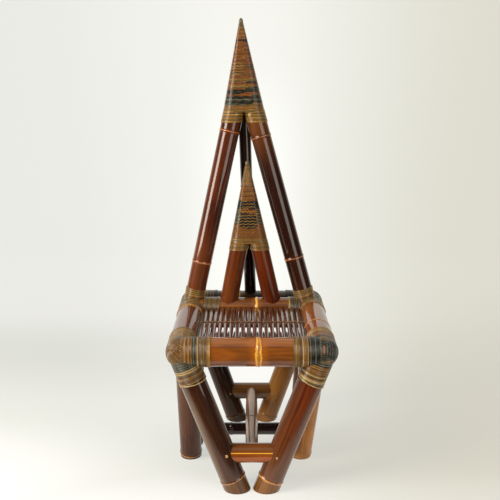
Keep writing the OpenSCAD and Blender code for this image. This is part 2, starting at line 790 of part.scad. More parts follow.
// Cane round one corner: both rails, the ball of the corner and the two leg tops
module corner_binding(s, f, side_len, leg_top, leg_foot, leg_r) {
    side_top = side_leg_top(s, f);
    side_foot = side_leg_foot(s, f);
    color(cane_tan) difference() {
        union() {
            corner(s, f) {
                sphere(r = ball_r);
                rotate([0, 90, 0]) sleeve(rail_bind, rail_r);
                rotate([-90, 0, 0]) sleeve(side_len, rail_r);
            }
            place(leg_top, leg_foot) sleeve(leg_bind, leg_r);
            place(side_top, side_foot) sleeve(leg_bind - 10, side_leg_r);
        }
        corner(s, f) {
            sphere(r = rail_r + 5 * skin);
            rotate([0, 90, 0]) translate([0, 0, -rail_r / 10])
                cylinder(h = rail_bind + rail_r, r = rail_r + skin);
            rotate([-90, 0, 0]) translate([0, 0, -rail_r / 10])
                cylinder(h = side_len + rail_r, r = rail_r + skin);
        }
        rod(leg_top, along(leg_top, leg_foot, leg_bind + rail_r), leg_r + skin);
        rod(side_top, along(side_top, side_foot, leg_bind + rail_r), side_leg_r + skin);
        slat_mortises();
        if (f > 0) {
            rod([0, inner_y, rail_z], [s * half_w, inner_y, rail_z], rail_r + skin);
            rod(at_z(tall_foot(s), tall_meet, rail_z), tall_meet, tall_r + skin);
        }
    }
}

module front_left_binding() {
    corner_binding(-1, -1, side_bind, front_leg_top(-1), front_leg_foot(-1), front_leg_r);
}

module front_right_binding() {
    corner_binding(1, -1, side_bind, front_leg_top(1), front_leg_foot(1), front_leg_r);
}

module rear_left_binding() {
    corner_binding(-1, 1, left_rear_bind, rear_leg_top(-1), rear_leg_foot(-1), rear_leg_r);
}

module rear_right_binding() {
    corner_binding(1, 1, right_rear_bind, rear_leg_top(1), rear_leg_foot(1), rear_leg_r);
}

// Cane round a tall post's foot and the end of the inner rail beside it
module post_binding(s) {
    foot = tall_foot(s);
    color(cane_tan) difference() {
        union() {
            place(at_z(foot, tall_meet, rail_z), tall_meet)
                sleeve((rail_r + post_bind) / cos(lean(foot, tall_meet)), tall_r);
            place([s * half_w, inner_y, rail_z], [0, inner_y, rail_z]) sleeve(inner_bind, rail_r);
        }
        rod([s * half_w, -half_d, rail_z], [s * half_w, half_d, rail_z], rail_r + bead_t + 2 * skin);
        rod([0, inner_y, rail_z], [s * half_w, inner_y, rail_z], rail_r + skin);
        rod([-half_w, half_d, rail_z], [half_w, half_d, rail_z], rail_r + bead_t + 2 * skin);
        rod(at_z(foot, tall_meet, rail_z), tall_meet, tall_r + skin);
        rod(side_leg_top(s, 1), along(side_leg_top(s, 1), side_leg_foot(s, 1), leg_bind),
            side_leg_r + bead_t + 2 * skin);
        slat_mortises();
    }
}

module left_post_binding() {
    post_binding(-1);
}

module right_post_binding() {
    post_binding(1);
}

// Seat
module seat_slats() {
    color(culm_dark)
        for (i = [0 : slat_count - 1])
            translate([slat_x(i), 0, 0]) difference() {
                slat_bar();
                waist_cut(slat_y0 + slat_seat, -tie_front - batten_r);
                waist_cut(-tie_front + batten_r, slat_y1 - slat_seat);
            }
}

module slat_batten() {
    color(culm_dark) batten_rod(0);
}

module slat_tie() {
    tie_z = slat_base_z + slat_t + tie_dia / 2;
    tie_half = half_w - sqrt(rail_r * rail_r - pow(tie_z - tie_dia / 2 - rail_z, 2)) - fit;
    color(cane_tan)
        for (s = [-1, 1])
            rod([-tie_half, -tie_front + s * tie_dia, tie_z], [tie_half, -tie_front + s * tie_dia, tie_z],
                tie_dia / 2);
}

// Joint fastenings
module leg_pins() {
    color(wood_pale) all_leg_pins(0);
}

module post_pins() {
    color(wood_pale) {
        all_post_pins(0);
        inner_tenons(0);
    }
}

module stretcher_tenons() {
    color(wood_pale) difference() {
        all_tenons(0);
        all_pegs(0.05);
        cross_bars(fit);
    }
}

module stretcher_pegs() {
    color(wood_pale) all_pegs(0);
}

front_rail();
left_rail();
right_rail();
rear_rail();
inner_rail();
front_left_leg();
front_right_leg();
rear_left_leg();
rear_right_leg();
left_front_leg();
left_rear_leg();
right_front_leg();
right_rear_leg();
front_stretcher();
rear_stretcher();
left_stretcher();
right_stretcher();
long_cross_bar();
wide_cross_bar();
tall_left_post();
tall_right_post();
tall_rear_post();
small_left_post();
small_right_post();
tall_spire_core();
small_spire_core();
front_left_core();
front_right_core();
rear_left_core();
rear_right_core();
front_left_binding();
front_right_binding();
rear_left_binding();
rear_right_binding();
left_post_binding();
right_post_binding();
tall_spire_binding();
small_spire_binding();
seat_slats();
slat_batten();
slat_tie();
leg_pins();
post_pins();
stretcher_tenons();
stretcher_pegs();
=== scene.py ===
import math

import bpy
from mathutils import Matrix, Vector


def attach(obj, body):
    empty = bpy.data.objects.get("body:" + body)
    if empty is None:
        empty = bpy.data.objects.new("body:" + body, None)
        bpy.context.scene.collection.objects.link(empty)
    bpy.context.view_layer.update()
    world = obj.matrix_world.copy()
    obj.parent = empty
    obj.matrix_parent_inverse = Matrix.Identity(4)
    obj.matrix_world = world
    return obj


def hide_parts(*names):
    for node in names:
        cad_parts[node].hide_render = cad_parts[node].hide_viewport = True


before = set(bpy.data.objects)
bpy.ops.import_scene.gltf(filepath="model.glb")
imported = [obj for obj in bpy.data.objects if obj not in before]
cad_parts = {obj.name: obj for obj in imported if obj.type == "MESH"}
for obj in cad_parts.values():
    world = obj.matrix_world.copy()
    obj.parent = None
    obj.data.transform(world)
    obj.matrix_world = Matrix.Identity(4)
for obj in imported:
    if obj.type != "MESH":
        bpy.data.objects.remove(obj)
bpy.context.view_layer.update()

# The looks of a bamboo chair. Its culms and slats are the CAD's own solids under node materials of lacquered bamboo.
# Its bindings are woven anew as single strands of flat cane, which replace the CAD's plainer ones.
# Places and sizes are in millimetres, and in metres inside the materials, the stage and the camera. X is to the
# right as one faces the chair, Y to the rear and Z up.

# ---------------------------------------------------------------- sizes, as the CAD source has them
HALF_W, HALF_D = 195.0, 246.0                   # a corner's middle, from the chair's middle
RAIL_Z, RAIL_R = 409.0, 40.0                    # the seat rails' axes above the floor, and their radius
SEAT_Z = RAIL_Z + RAIL_R
INNER_Y = 160.0                                 # the axis of the rail in front of the rear rail
BALL_R = 42.8                                   # a corner's ball, over its cane
CANE_T = 2.0                                    # a strand's thickness
FRONT_LEG_R, REAR_LEG_R, SIDE_LEG_R = 36.5, 33.5, 32.5
FRONT_FOOT_X, REAR_FOOT_X, REAR_FOOT_Y = 42, 50, 226
SIDE_FOOT_Y, SIDE_TOP_Y = 42, 175
LEFT_X, RIGHT_FOOT_X, RIGHT_TOP_X = -188, 151, 186
TALL_R, SMALL_R, TIP_R = 31.0, 28.5, 2.5
TALL_FEET = (Vector((-186, 168, SEAT_Z)), Vector((173, 168, SEAT_Z)))
TALL_REAR_FOOT = Vector((-4, HALF_D, SEAT_Z))
TALL_MEET = Vector((-28, 195, 1173))            # where the posts' axes meet
SMALL_FEET = (Vector((-72, INNER_Y, SEAT_Z)), Vector((64, INNER_Y, SEAT_Z)))
SMALL_MEET = Vector((-11, 170, 775))
TALL_FORK, SMALL_FORK = 1041.9, 632.3           # where the posts part and the spires' loops begin
TALL_TIP, SMALL_TIP = Vector((-33, 195, 1322.9)), Vector((-14, 174, 890.3))
SLATS, SLAT_PITCH, FIRST_GAP = 18, 17, -153     # the gaps between the slats begin with one beside the left rail
TIE_Y = -31                                     # the cane that ties the slats

X, Y, Z = Vector((1, 0, 0)), Vector((0, 1, 0)), Vector((0, 0, 1))


def leg(foot_x, foot_y, top_x, top_y, r):
    """A leg's foot, top and radius."""
    return Vector((foot_x, foot_y, 0)), Vector((top_x, top_y, RAIL_Z)), r


LEGS = {
    "front_left_leg": leg(-FRONT_FOOT_X, -HALF_D, -HALF_W, -HALF_D, FRONT_LEG_R),
    "front_right_leg": leg(FRONT_FOOT_X, -HALF_D, HALF_W, -HALF_D, FRONT_LEG_R),
    "rear_left_leg": leg(-REAR_FOOT_X, REAR_FOOT_Y, -HALF_W, HALF_D, REAR_LEG_R),
    "rear_right_leg": leg(REAR_FOOT_X, REAR_FOOT_Y, HALF_W, HALF_D, REAR_LEG_R),
    "left_front_leg": leg(LEFT_X, -SIDE_FOOT_Y, LEFT_X, -SIDE_TOP_Y, SIDE_LEG_R),
    "left_rear_leg": leg(LEFT_X, SIDE_FOOT_Y, LEFT_X, SIDE_TOP_Y, SIDE_LEG_R),
    "right_front_leg": leg(RIGHT_FOOT_X, -SIDE_FOOT_Y, RIGHT_TOP_X, -SIDE_TOP_Y, SIDE_LEG_R),
    "right_rear_leg": leg(RIGHT_FOOT_X, SIDE_FOOT_Y, RIGHT_TOP_X, SIDE_TOP_Y, SIDE_LEG_R),
}


def at_z(p, q, z):
    """The point at height z on the line through p and q."""
    return p + (q - p) * ((z - p.z) / (q.z - p.z))


def jitter(n):
    """A repeatable number from -1 to 1 for a whole number."""
    return 2 * ((math.sin(n * 12.9898 + 4.1414) * 43758.5453) % 1) - 1


# ---------------------------------------------------------------- materials
def rgb(r, g, b):
    """A screen colour, 0 to 255, as linear RGBA."""
    def linear(c):
        c /= 255
        return c / 12.92 if c <= 0.04045 else ((c + 0.055) / 1.055) ** 2.4
    return (linear(r), linear(g), linear(b), 1.0)


def tint(colour, k):
    """A screen colour made darker or lighter by a factor, as linear RGBA."""
    return tuple(min(1.0, c * k) for c in rgb(*colour)[:3]) + (1.0,)


class Mat:
    """A node material under construction. Its methods add a node and return what comes out of it."""

    def __init__(self, name):
        self.mat = bpy.data.materials.new(name)
        self.mat.use_nodes = True
        self.tree = self.mat.node_tree
        self.tree.nodes.clear()
        self.out = self.tree.nodes.new("ShaderNodeOutputMaterial")

    def node(self, kind, inputs, **props):
        """A new node. Each input, by its name or number, is a value or another node's output."""
        n = self.tree.nodes.new(kind)
        for k, v in props.items():
            setattr(n, k, v)
        for k, v in inputs.items():
            if isinstance(v, bpy.types.NodeSocket):
                self.tree.links.new(v, n.inputs[k])
            else:
                n.inputs[k].default_value = v
        return n

    def coord(self, kind="Object"):
        return self.node("ShaderNodeTexCoord", {}).outputs[kind]

    def mapping(self, vec, loc=(0, 0, 0), rot=(0, 0, 0), scale=(1, 1, 1), kind="POINT"):
        return self.node("ShaderNodeMapping", {"Vector": vec, "Location": loc, "Rotation": rot, "Scale": scale},
                         vector_type=kind).outputs[0]

    def noise(self, vec, scale, detail=2.0, rough=0.5, distortion=0.0):
        return self.node("ShaderNodeTexNoise", {"Vector": vec, "Scale": scale, "Detail": detail, "Roughness": rough,
                                                "Distortion": distortion}).outputs["Fac"]

    def math(self, op, a, b=0.0):
        return self.node("ShaderNodeMath", {0: a, 1: b}, operation=op).outputs[0]

    def add(self, a, b):
        return self.math("ADD", a, b)

    def sub(self, a, b):
        return self.math("SUBTRACT", a, b)

    def mul(self, a, b):
        return self.math("MULTIPLY", a, b)

    def top(self, a, b):
        """The larger of two."""
        return self.math("MAXIMUM", a, b)

    def gap(self, a, b):
        """How far a is from b."""
        return self.math("ABSOLUTE", self.sub(a, b))

    def sway(self, noise, by, middle=0.5):
        """A noise's difference from its middle, times a factor: it makes a place uneven."""
        return self.mul(self.sub(noise, middle), by)

    def axis(self, vec, i):
        """A vector's x, y or z, for i of 0, 1 or 2."""
        return self.node("ShaderNodeSeparateXYZ", {0: vec}).outputs[i]

    def place(self, i):
        """The surface's own x, y or z."""
        return self.axis(self.coord(), i)

    def span(self, v, a, b, lo=0.0, hi=1.0):
        """lo where v is at a, hi where it is at b, and a smooth change between them."""
        return self.node("ShaderNodeMapRange", {"Value": v, "From Min": a, "From Max": b, "To Min": lo, "To Max": hi},
                         interpolation_type="SMOOTHSTEP").outputs[0]

    def mix(self, fac, a, b, blend="MIX"):
        return self.node("ShaderNodeMix", {0: fac, 6: a, 7: b}, data_type="RGBA", blend_type=blend).outputs[2]

    def bump(self, height, strength, distance):
        return self.node("ShaderNodeBump", {"Strength": strength, "Distance": distance, "Height": height}).outputs[0]

    def close(self, shader):
        """Ends the material with a shader's output."""
        self.tree.links.new(shader, self.out.inputs["Surface"])
        return self.mat

    def shade(self, colour, roughness, normal, coat=1.0, coat_rough=0.05, coat_ior=1.5, coat_normal=None, specular=0.5):
        """Ends the material with a surface under a coat of lacquer."""
        inputs = {"Base Color": colour, "Roughness": roughness, "Normal": normal, "Coat Weight": coat,
                  "Coat Roughness": coat_rough, "Coat IOR": coat_ior, "Specular IOR Level": specular}
        if coat_normal is not None:
            inputs["Coat Normal"] = coat_normal
        return self.close(self.node("ShaderNodeBsdfPrincipled", inputs).outputs[0])


def bamboo(name, p, q, base, accent, rings=(), gold=(188, 134, 72), half=1.8, wave=1.0, zone=14.0, foot=None,
           gloss=0.9, extra=None, seed=0.0):
    """Lacquered culm from p to q, of a base dye with patches of an accent dye. Its natural nodes are golden rings at
    the places that rings gives, from p: each is 2 * half wide, with edges that wave, and the accent dye spreads over
    a zone beside it. foot is the dye below a leg's ring. extra changes the tone before the rings go on."""
    m = Mat(name)
    turn = (q - p).to_track_quat("Z", "Y").to_euler()
    here = m.mapping(m.coord(), loc=tuple(p / 1000), rot=tuple(turn), kind="TEXTURE")

    def grain(loc, stretch, *look):
        """Noise drawn out along the culm."""
        return m.noise(m.mapping(here, loc=loc, scale=(1, 1, stretch)), *look)

    fibre = grain((seed, 0, 0), 0.012, 1300, 3.0, 0.6)
    streak = grain((0, seed, 0), 0.035, 150, 3.0, 0.55)
    cloud = grain((seed, seed, 0), 0.3, 15, 2.0, 0.5, 0.4)
    mottle = grain((0, seed, seed), 0.16, 34, 3.0, 0.6, 0.6)
    speck = grain((0, 0, 0), 0.5, 300)
    tone = m.mix(m.span(streak, 0.32, 0.68), tint(base, 0.66), tint(base, 1.26))
    tone = m.mix(m.mul(m.span(cloud, 0.42, 0.66), 0.7), tone, rgb(*accent))
    tone = m.mix(m.span(fibre, 0.34, 0.72, 0.0, 0.4), tone, tint(base, 0.4))
    tone = m.mix(m.span(mottle, 0.52, 0.72, 0.0, 0.5), tone, m.mix(0.5, tint(base, 0.5), rgb(62, 52, 38)))
    if extra:
        tone = extra(m, tone, streak)
    z = m.axis(here, 2)
    uneven = m.add(m.mul(speck, 0.005), m.mul(cloud, 0.008))
    for n in rings:
        off = m.gap(z, n / 1000)
        wide = m.span(m.add(off, m.sway(streak, 0.04)), half / 1000, (half + zone) / 1000, 0.5, 0.0)
        tone = m.mix(wide, tone, rgb(*accent))
        if foot:
            below = m.span(z, (n - 1) / 1000, (n + 1) / 1000, 0.8, 0.0)
            tone = m.mix(below, tone, m.mix(m.span(streak, 0.35, 0.65), tint(foot, 0.55), rgb(*foot)))
        groove = m.gap(off, (half + 0.8) / 1000)
        tone = m.mix(m.span(groove, 0.0003, 0.0013, 0.6, 0.0), tone, tint(base, 0.3))
        wavy = m.add(off, m.sway(uneven, wave, 0.0065))
        rim = rgb(*gold)
        if half > 4:  # a wide ring has a dark valley along its middle and darker edges
            rim = m.mix(m.span(wavy, 0.0016, 0.0044, 0.9, 0.0), rim, tint(gold, 0.34))
            rim = m.mix(m.span(wavy, 0.0062, 0.0078, 0.0, 0.6), rim, tint(gold, 0.5))
            rim = m.mix(m.span(speck, 0.45, 0.7, 0.0, 0.5), rim, tint(gold, 0.62))
        tone = m.mix(m.span(wavy, (half - 0.9) / 1000, (half + 0.7) / 1000, 0.95, 0.0), tone, rim)
    swell = grain((0, 0, 0), 0.4, 26, 1.0)
    return m.shade(tone, m.span(streak, 0.3, 0.7, 0.24, 0.34), m.bump(m.add(fibre, streak), 0.12, 0.0005),
                   coat=gloss, coat_rough=0.045, coat_normal=m.bump(swell, 0.22, 0.003), specular=0.1)


def cane(name, dark, mid, light):
    """Flat binding cane: fibres run along the strip, which the mesh gives as UVs in metres."""
    m = Mat(name)
    uv = m.coord("UV")
    fibre = m.noise(m.mapping(uv, scale=(50, 2600, 1)), 1.0, 3.0, 0.6)
    patch = m.noise(m.mapping(uv, scale=(28, 160, 1)), 1.0)
    cloud = m.noise(m.coord(), 70)
    tone = m.mix(m.span(fibre, 0.32, 0.7), rgb(*dark), rgb(*mid))
    tone = m.mix(m.span(patch, 0.5, 0.78, 0.0, 0.7), tone, rgb(*light))
    tone = m.mix(m.span(cloud, 0.52, 0.74, 0.0, 0.5), tone, rgb(*dark))
    return m.shade(tone, m.span(fibre, 0.3, 0.7, 0.36, 0.5), m.bump(fibre, 0.3, 0.0004), coat=0.9, coat_rough=0.12,
                   specular=0.2)


def wood(name, dark, light, scale=90.0):
    """Pale split wood, as a peg's or a plug's end shows it."""
    m = Mat(name)
    grain = m.noise(m.mapping(m.coord(), scale=(1, 0.2, 1)), scale, 4.0, 0.6, 0.8)
    fine = m.noise(m.coord(), 900)
    tone = m.mix(m.span(grain, 0.35, 0.68), rgb(*dark), rgb(*light))
    tone = m.mix(m.span(fine, 0.6, 0.75, 0.0, 0.5), tone, rgb(*dark))
    return m.shade(tone, 0.5, m.bump(grain, 0.2, 0.0006), coat=0.4, coat_rough=0.25)


def split_slats():
    """Split bamboo with a tone of its own on each slat."""
    m = Mat("split_slats")
    here = m.coord()
    column = m.math("FLOOR", m.math("DIVIDE", m.sub(m.axis(here, 0), FIRST_GAP / 1000), SLAT_PITCH / 1000))
    pick = m.node("ShaderNodeTexWhiteNoise", {}, noise_dimensions="1D")
    m.tree.links.new(column, pick.inputs["W"])
    grain = m.noise(m.mapping(here, scale=(1, 0.03, 1)), 900, 3.0, 0.6)
    stain = m.noise(m.mapping(here, scale=(1, 0.2, 1)), 50, 3.0)
    tone = m.mix(m.span(grain, 0.35, 0.7), rgb(70, 32, 14), rgb(104, 56, 26))
    tone = m.mix(m.mul(pick.outputs[0], 0.7), tone, rgb(78, 26, 10))
    tone = m.mix(m.span(stain, 0.55, 0.75, 0.0, 0.4), tone, rgb(132, 88, 48))
    return m.shade(tone, 0.25, m.bump(grain, 0.2, 0.0004), coat_rough=0.06, coat_ior=1.55, specular=0.2)


# ---------------------------------------------------------------- changes of tone on single culms
LEAN = 0.374                                    # how far the front legs lean out, x against z


def fade(a, b, amount, colour):
    """A change with height, that begins at a metres and is full at b."""
    return lambda m, tone, streak: m.mix(m.span(m.place(2), a, b, 0.0, amount), tone, rgb(*colour))


def front_rail_tone_and_painted_light(m, tone, streak):
    """Browner at the left. Redder and duller towards the underside, a painted reflection of the pale floor, and paler
    on top, a painted highlight.
    """
    high = m.add(m.place(2), m.sway(streak, 0.03))
    tone = m.mix(m.span(m.place(0), 0.01, -0.13, 0.0, 0.4), tone, rgb(98, 50, 16))
    # painted reflection: the underside redder and duller, as the pale floor shows in the lacquer
    tone = m.mix(m.span(high, 0.374, 0.402, 0.75, 0.0), tone, rgb(92, 50, 36))
    # painted highlight: a paler band along the top
    return m.mix(m.span(high, 0.432, 0.446, 0.0, 0.5), tone, rgb(150, 96, 48))


def front_stretcher_tone_and_highlight(m, tone, streak):
    """Browner on top, with a painted highlight: a thin bright line along the front."""
    high = m.place(2)
    tone = m.mix(m.span(high, 0.112, 0.126, 0.0, 0.75), tone, rgb(104, 62, 26))
    # painted highlight: a thin bright line along the front of the culm
    line = m.gap(m.add(high, m.mul(streak, 0.002)), 0.1205)
    near = m.math("LESS_THAN", m.place(1), -HALF_D / 1000)
    return m.mix(m.mul(m.span(line, 0.0004, 0.0015, 1.0, 0.0), near), tone, rgb(240, 176, 66))


def front_left_leg_tone_and_shading(m, tone, streak):
    """Paler and greyer on the outer side, a painted reflection, and darker on the inner side, painted shade. It is also
    darker towards the top.
    """
    x, z = m.place(0), m.place(2)
    flank = m.add(m.add(x, FRONT_FOOT_X / 1000), m.mul(z, LEAN))
    flank = m.add(flank, m.sway(streak, 0.014))
    # painted reflection: the outer side paler and greyer
    tone = m.mix(m.span(flank, -0.008, -0.027, 0.0, 0.6), tone, rgb(116, 90, 62))
    # painted shade: the inner side darker
    tone = m.mix(m.span(flank, 0.004, 0.026, 0.0, 0.5), tone, rgb(38, 16, 6))
    return m.mix(m.span(z, 0.2, 0.33, 0.0, 0.6), tone, rgb(38, 12, 4))


def front_right_leg_tone(m, tone, streak):
    """Duller at the bottom, darker towards the top, with a clear red streak down the middle."""
    x, z = m.place(0), m.place(2)
    flank = m.gap(m.sub(x, FRONT_FOOT_X / 1000), m.mul(z, LEAN))
    clear = m.mul(m.span(flank, 0.03, 0.004), m.span(z, 0.14, 0.3, 0.0, 0.85))
    tone = m.mix(m.span(z, 0.17, 0.06, 0.0, 0.5), tone, rgb(96, 64, 38))
    tone = m.mix(m.span(z, 0.22, 0.34, 0.0, 0.6), tone, rgb(62, 18, 4))
    return m.mix(clear, tone, m.mix(m.span(streak, 0.35, 0.65), rgb(66, 18, 4), rgb(104, 42, 12)))


def right_front_leg_painted_shade(m, tone, streak):
    """Painted shade: much darker on the upper part of the inner side."""
    # painted shade on the upper part of the inner side
    dark = m.mul(m.span(m.place(2), 0.2, 0.27), m.span(m.place(0), 0.172, 0.16))
    return m.mix(m.mul(dark, 0.8), tone, rgb(40, 26, 20))


# ---------------------------------------------------------------- the CAD's solids under their materials
def paint(node, mat):
    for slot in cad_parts[node].material_slots:
        slot.material = mat


CULMS = []


def culm(node, p, q, base, accent, rings=(), **more):
    """Paints one culm, with a grain that no other has."""
    CULMS.append(node)
    paint(node, bamboo("bamboo_" + node, Vector(p), Vector(q), base, accent, rings, seed=0.37 * len(CULMS), **more))


def leg_culm(node, ring, base, accent, **more):
    """Paints a leg, whose one ring is so high above the floor. Its axis begins a radius below its foot."""
    foot, top, r = LEGS[node]
    rise = (top.z - foot.z) / (top - foot).length
    culm(node, foot - (top - foot).normalized() * r, top, base, accent, (ring / rise + r,), **more)


def post_culm(node, foot, meet, base, accent, rings=(), **more):
    """Paints a post, from the axis of the rail that it stands on."""
    culm(node, at_z(foot, meet, RAIL_Z), meet, base, accent, rings, **more)


culm("front_rail", (-HALF_W, -HALF_D, RAIL_Z), (HALF_W, -HALF_D, RAIL_Z), (118, 64, 18), (166, 90, 20), (213,),
     gold=(226, 158, 58), half=8.5, wave=1.6, zone=26, extra=front_rail_tone_and_painted_light)
culm("rear_rail", (-HALF_W, HALF_D, RAIL_Z), (HALF_W, HALF_D, RAIL_Z), (84, 52, 22), (120, 84, 44), (155,),
     gold=(196, 150, 80))
culm("left_rail", (-HALF_W, -HALF_D, RAIL_Z), (-HALF_W, HALF_D, RAIL_Z), (100, 44, 12), (126, 64, 22), (318,),
     gold=(214, 150, 80))
culm("right_rail", (HALF_W, -HALF_D, RAIL_Z), (HALF_W, HALF_D, RAIL_Z), (122, 58, 14), (150, 84, 28), (172,),
     gold=(226, 160, 80), half=2.4)
culm("inner_rail", (-171, INNER_Y, RAIL_Z), (171, INNER_Y, RAIL_Z), (108, 60, 20), (146, 90, 34), (187,),
     gold=(240, 176, 76), half=3.0, wave=1.6, zone=22)
leg_culm("front_left_leg", 34, (60, 30, 12), (86, 50, 24), foot=(110, 70, 30), gold=(176, 122, 70),
         extra=front_left_leg_tone_and_shading)
leg_culm("front_right_leg", 34, (96, 48, 18), (118, 68, 30), foot=(134, 88, 38), gold=(184, 128, 70),
         extra=front_right_leg_tone)
leg_culm("rear_left_leg", 18, (38, 18, 10), (62, 38, 22), gold=(104, 70, 36), half=1.2, gloss=0.4,
         extra=fade(0.17, 0.05, 0.45, (78, 48, 16)))
leg_culm("rear_right_leg", 18, (128, 82, 34), (158, 110, 52), gold=(176, 130, 72), half=1.2, gloss=0.6,
         extra=fade(0.24, 0.12, 0.5, (190, 130, 62)))
leg_culm("left_front_leg", 18, (72, 36, 20), (96, 58, 34), gloss=0.4)
leg_culm("left_rear_leg", 18, (74, 40, 24), (96, 58, 36), gloss=0.55)
leg_culm("right_front_leg", 18, (164, 102, 38), (196, 128, 52), gloss=0.6, extra=right_front_leg_painted_shade)
leg_culm("right_rear_leg", 18, (118, 74, 36), (146, 98, 54), gloss=0.6)
culm("front_stretcher", (-155, -HALF_D, 109), (155, -HALF_D, 109), (150, 72, 12), (176, 96, 22),
     extra=front_stretcher_tone_and_highlight)
culm("rear_stretcher", (-162, 231, 99), (162, 231, 99), (114, 72, 30), (142, 98, 50))
culm("left_stretcher", (LEFT_X, -153, 67), (LEFT_X, 153, 67), (66, 34, 18), (92, 54, 30))
culm("right_stretcher", (157, -153, 67), (157, 153, 67), (118, 74, 36), (146, 100, 54))
# the long cross bar's paler top is a painted reflection of the bright wall
culm("long_cross_bar", (0, -232.5, 109), (0, 217.3, 99.3), (122, 66, 40), (154, 104, 76), (207,), half=1.2,
     gold=(164, 124, 92), extra=fade(0.1, 0.124, 0.5, (176, 144, 116)))
culm("wide_cross_bar", (-174.5, 0, 67), (143.2, 0, 67), (30, 10, 6), (46, 20, 14), (111,), half=1.2,
     gold=(84, 44, 28))
POST_RINGS = {"gold": (168, 100, 50), "half": 2.1, "zone": 8}
post_culm("tall_left_post", TALL_FEET[0], TALL_MEET, (60, 24, 10), (98, 44, 18), (162, 588), gloss=0.95,
          extra=fade(0.72, 0.6, 0.45, (118, 60, 26)), **POST_RINGS)
post_culm("tall_right_post", TALL_FEET[1], TALL_MEET, (42, 16, 6), (66, 30, 12), (179, 578), gloss=0.9,
          extra=fade(0.86, 1.02, 0.6, (112, 62, 24)), **POST_RINGS)
post_culm("small_left_post", SMALL_FEET[0], SMALL_MEET, (92, 40, 10), (124, 62, 20), gloss=0.4)
post_culm("small_right_post", SMALL_FEET[1], SMALL_MEET, (82, 30, 6), (112, 44, 10), gloss=0.2)
post_culm("tall_rear_post", TALL_REAR_FOOT, TALL_MEET, (30, 13, 8), (44, 22, 12), (398,), gold=(120, 70, 32))

paint("seat_slats", split_slats())
paint("stretcher_pegs", wood("peg_wood", (150, 104, 58), (212, 176, 122), 240.0))
pale_wood = wood("pale_wood", (120, 82, 42), (186, 146, 92))
for node in ("tall_spire_core", "small_spire_core", "front_left_core", "front_right_core", "rear_left_core",
             "rear_right_core", "leg_pins", "post_pins", "stretcher_tenons"):
    paint(node, pale_wood)
# painted shade: a dark batten under the slats' front ends, where the floor would show through the gaps
paint("slat_batten", wood("batten_shade_wood", (72, 40, 16), (122, 80, 40)))

CANES = {dye: cane("cane_" + dye, *colours) for dye, colours in {
    "tan": ((98, 68, 26), (144, 106, 46), (188, 152, 84)),
    "olive": ((66, 54, 24), (104, 88, 44), (150, 132, 78)),
    "gold": ((120, 82, 24), (170, 122, 48), (216, 170, 88)),
    "orange": ((126, 64, 14), (176, 98, 26), (212, 140, 56)),
    "rust": ((92, 48, 14), (124, 70, 24), (158, 102, 46)),
    "amber": ((96, 58, 20), (130, 84, 32), (164, 114, 54)),
    "green": ((16, 20, 16), (40, 46, 36), (84, 90, 72)),
    "black": ((8, 8, 8), (20, 20, 18), (66, 68, 60)),
    "grey": ((64, 60, 44), (100, 94, 72), (146, 140, 112)),
    "light": ((146, 118, 70), (182, 156, 104), (222, 202, 152)),
    "brown": ((66, 34, 12), (104, 62, 26), (146, 98, 50)),
    "slat": ((34, 16, 8), (60, 30, 14), (92, 52, 28)),
}.items()}


# ---------------------------------------------------------------- dyes along a winding
def nth(k, dyes):
    return dyes[k % len(dyes)]


def by_ring(*dyes):
    """The dye of a ball's rectangle k, from its middle."""
    return lambda k: nth(k, dyes)


def bands(*rows):
    """The dye of turn k, which lies s along its wrapping. Each row is a first place and the dyes from there on, in
    turn. At every third turn it is drawn anew whether the order slips by one."""
    def pick(s, k):
        found = rows[0][1]
        for at, dyes in rows:
            if s >= at:
                found = dyes
        return nth(k + int(1.5 * abs(jitter(k // 3))), found)
    return pick


def mixed(*dyes):
    return bands((0, dyes))


# ---------------------------------------------------------------- cane strips
SECTION = ((-0.5, 0.0), (-0.46, 0.62), (-0.24, 0.98), (0.24, 0.98), (0.46, 0.62), (0.5, 0.0))  # across, height
STRIP_UV = 0.006                                # a strip's width in its UVs, whatever its real one
STRIP_SHIFT = 0.013                             # keeps the fibres of neighbour strips apart


def sides(axis):
    """Two directions square to an axis and to each other, the first as level as can be."""
    ref = Y if abs(axis.z) > 0.5 else Z
    e1 = axis.cross(ref).normalized()
    return e1, axis.cross(e1).normalized()


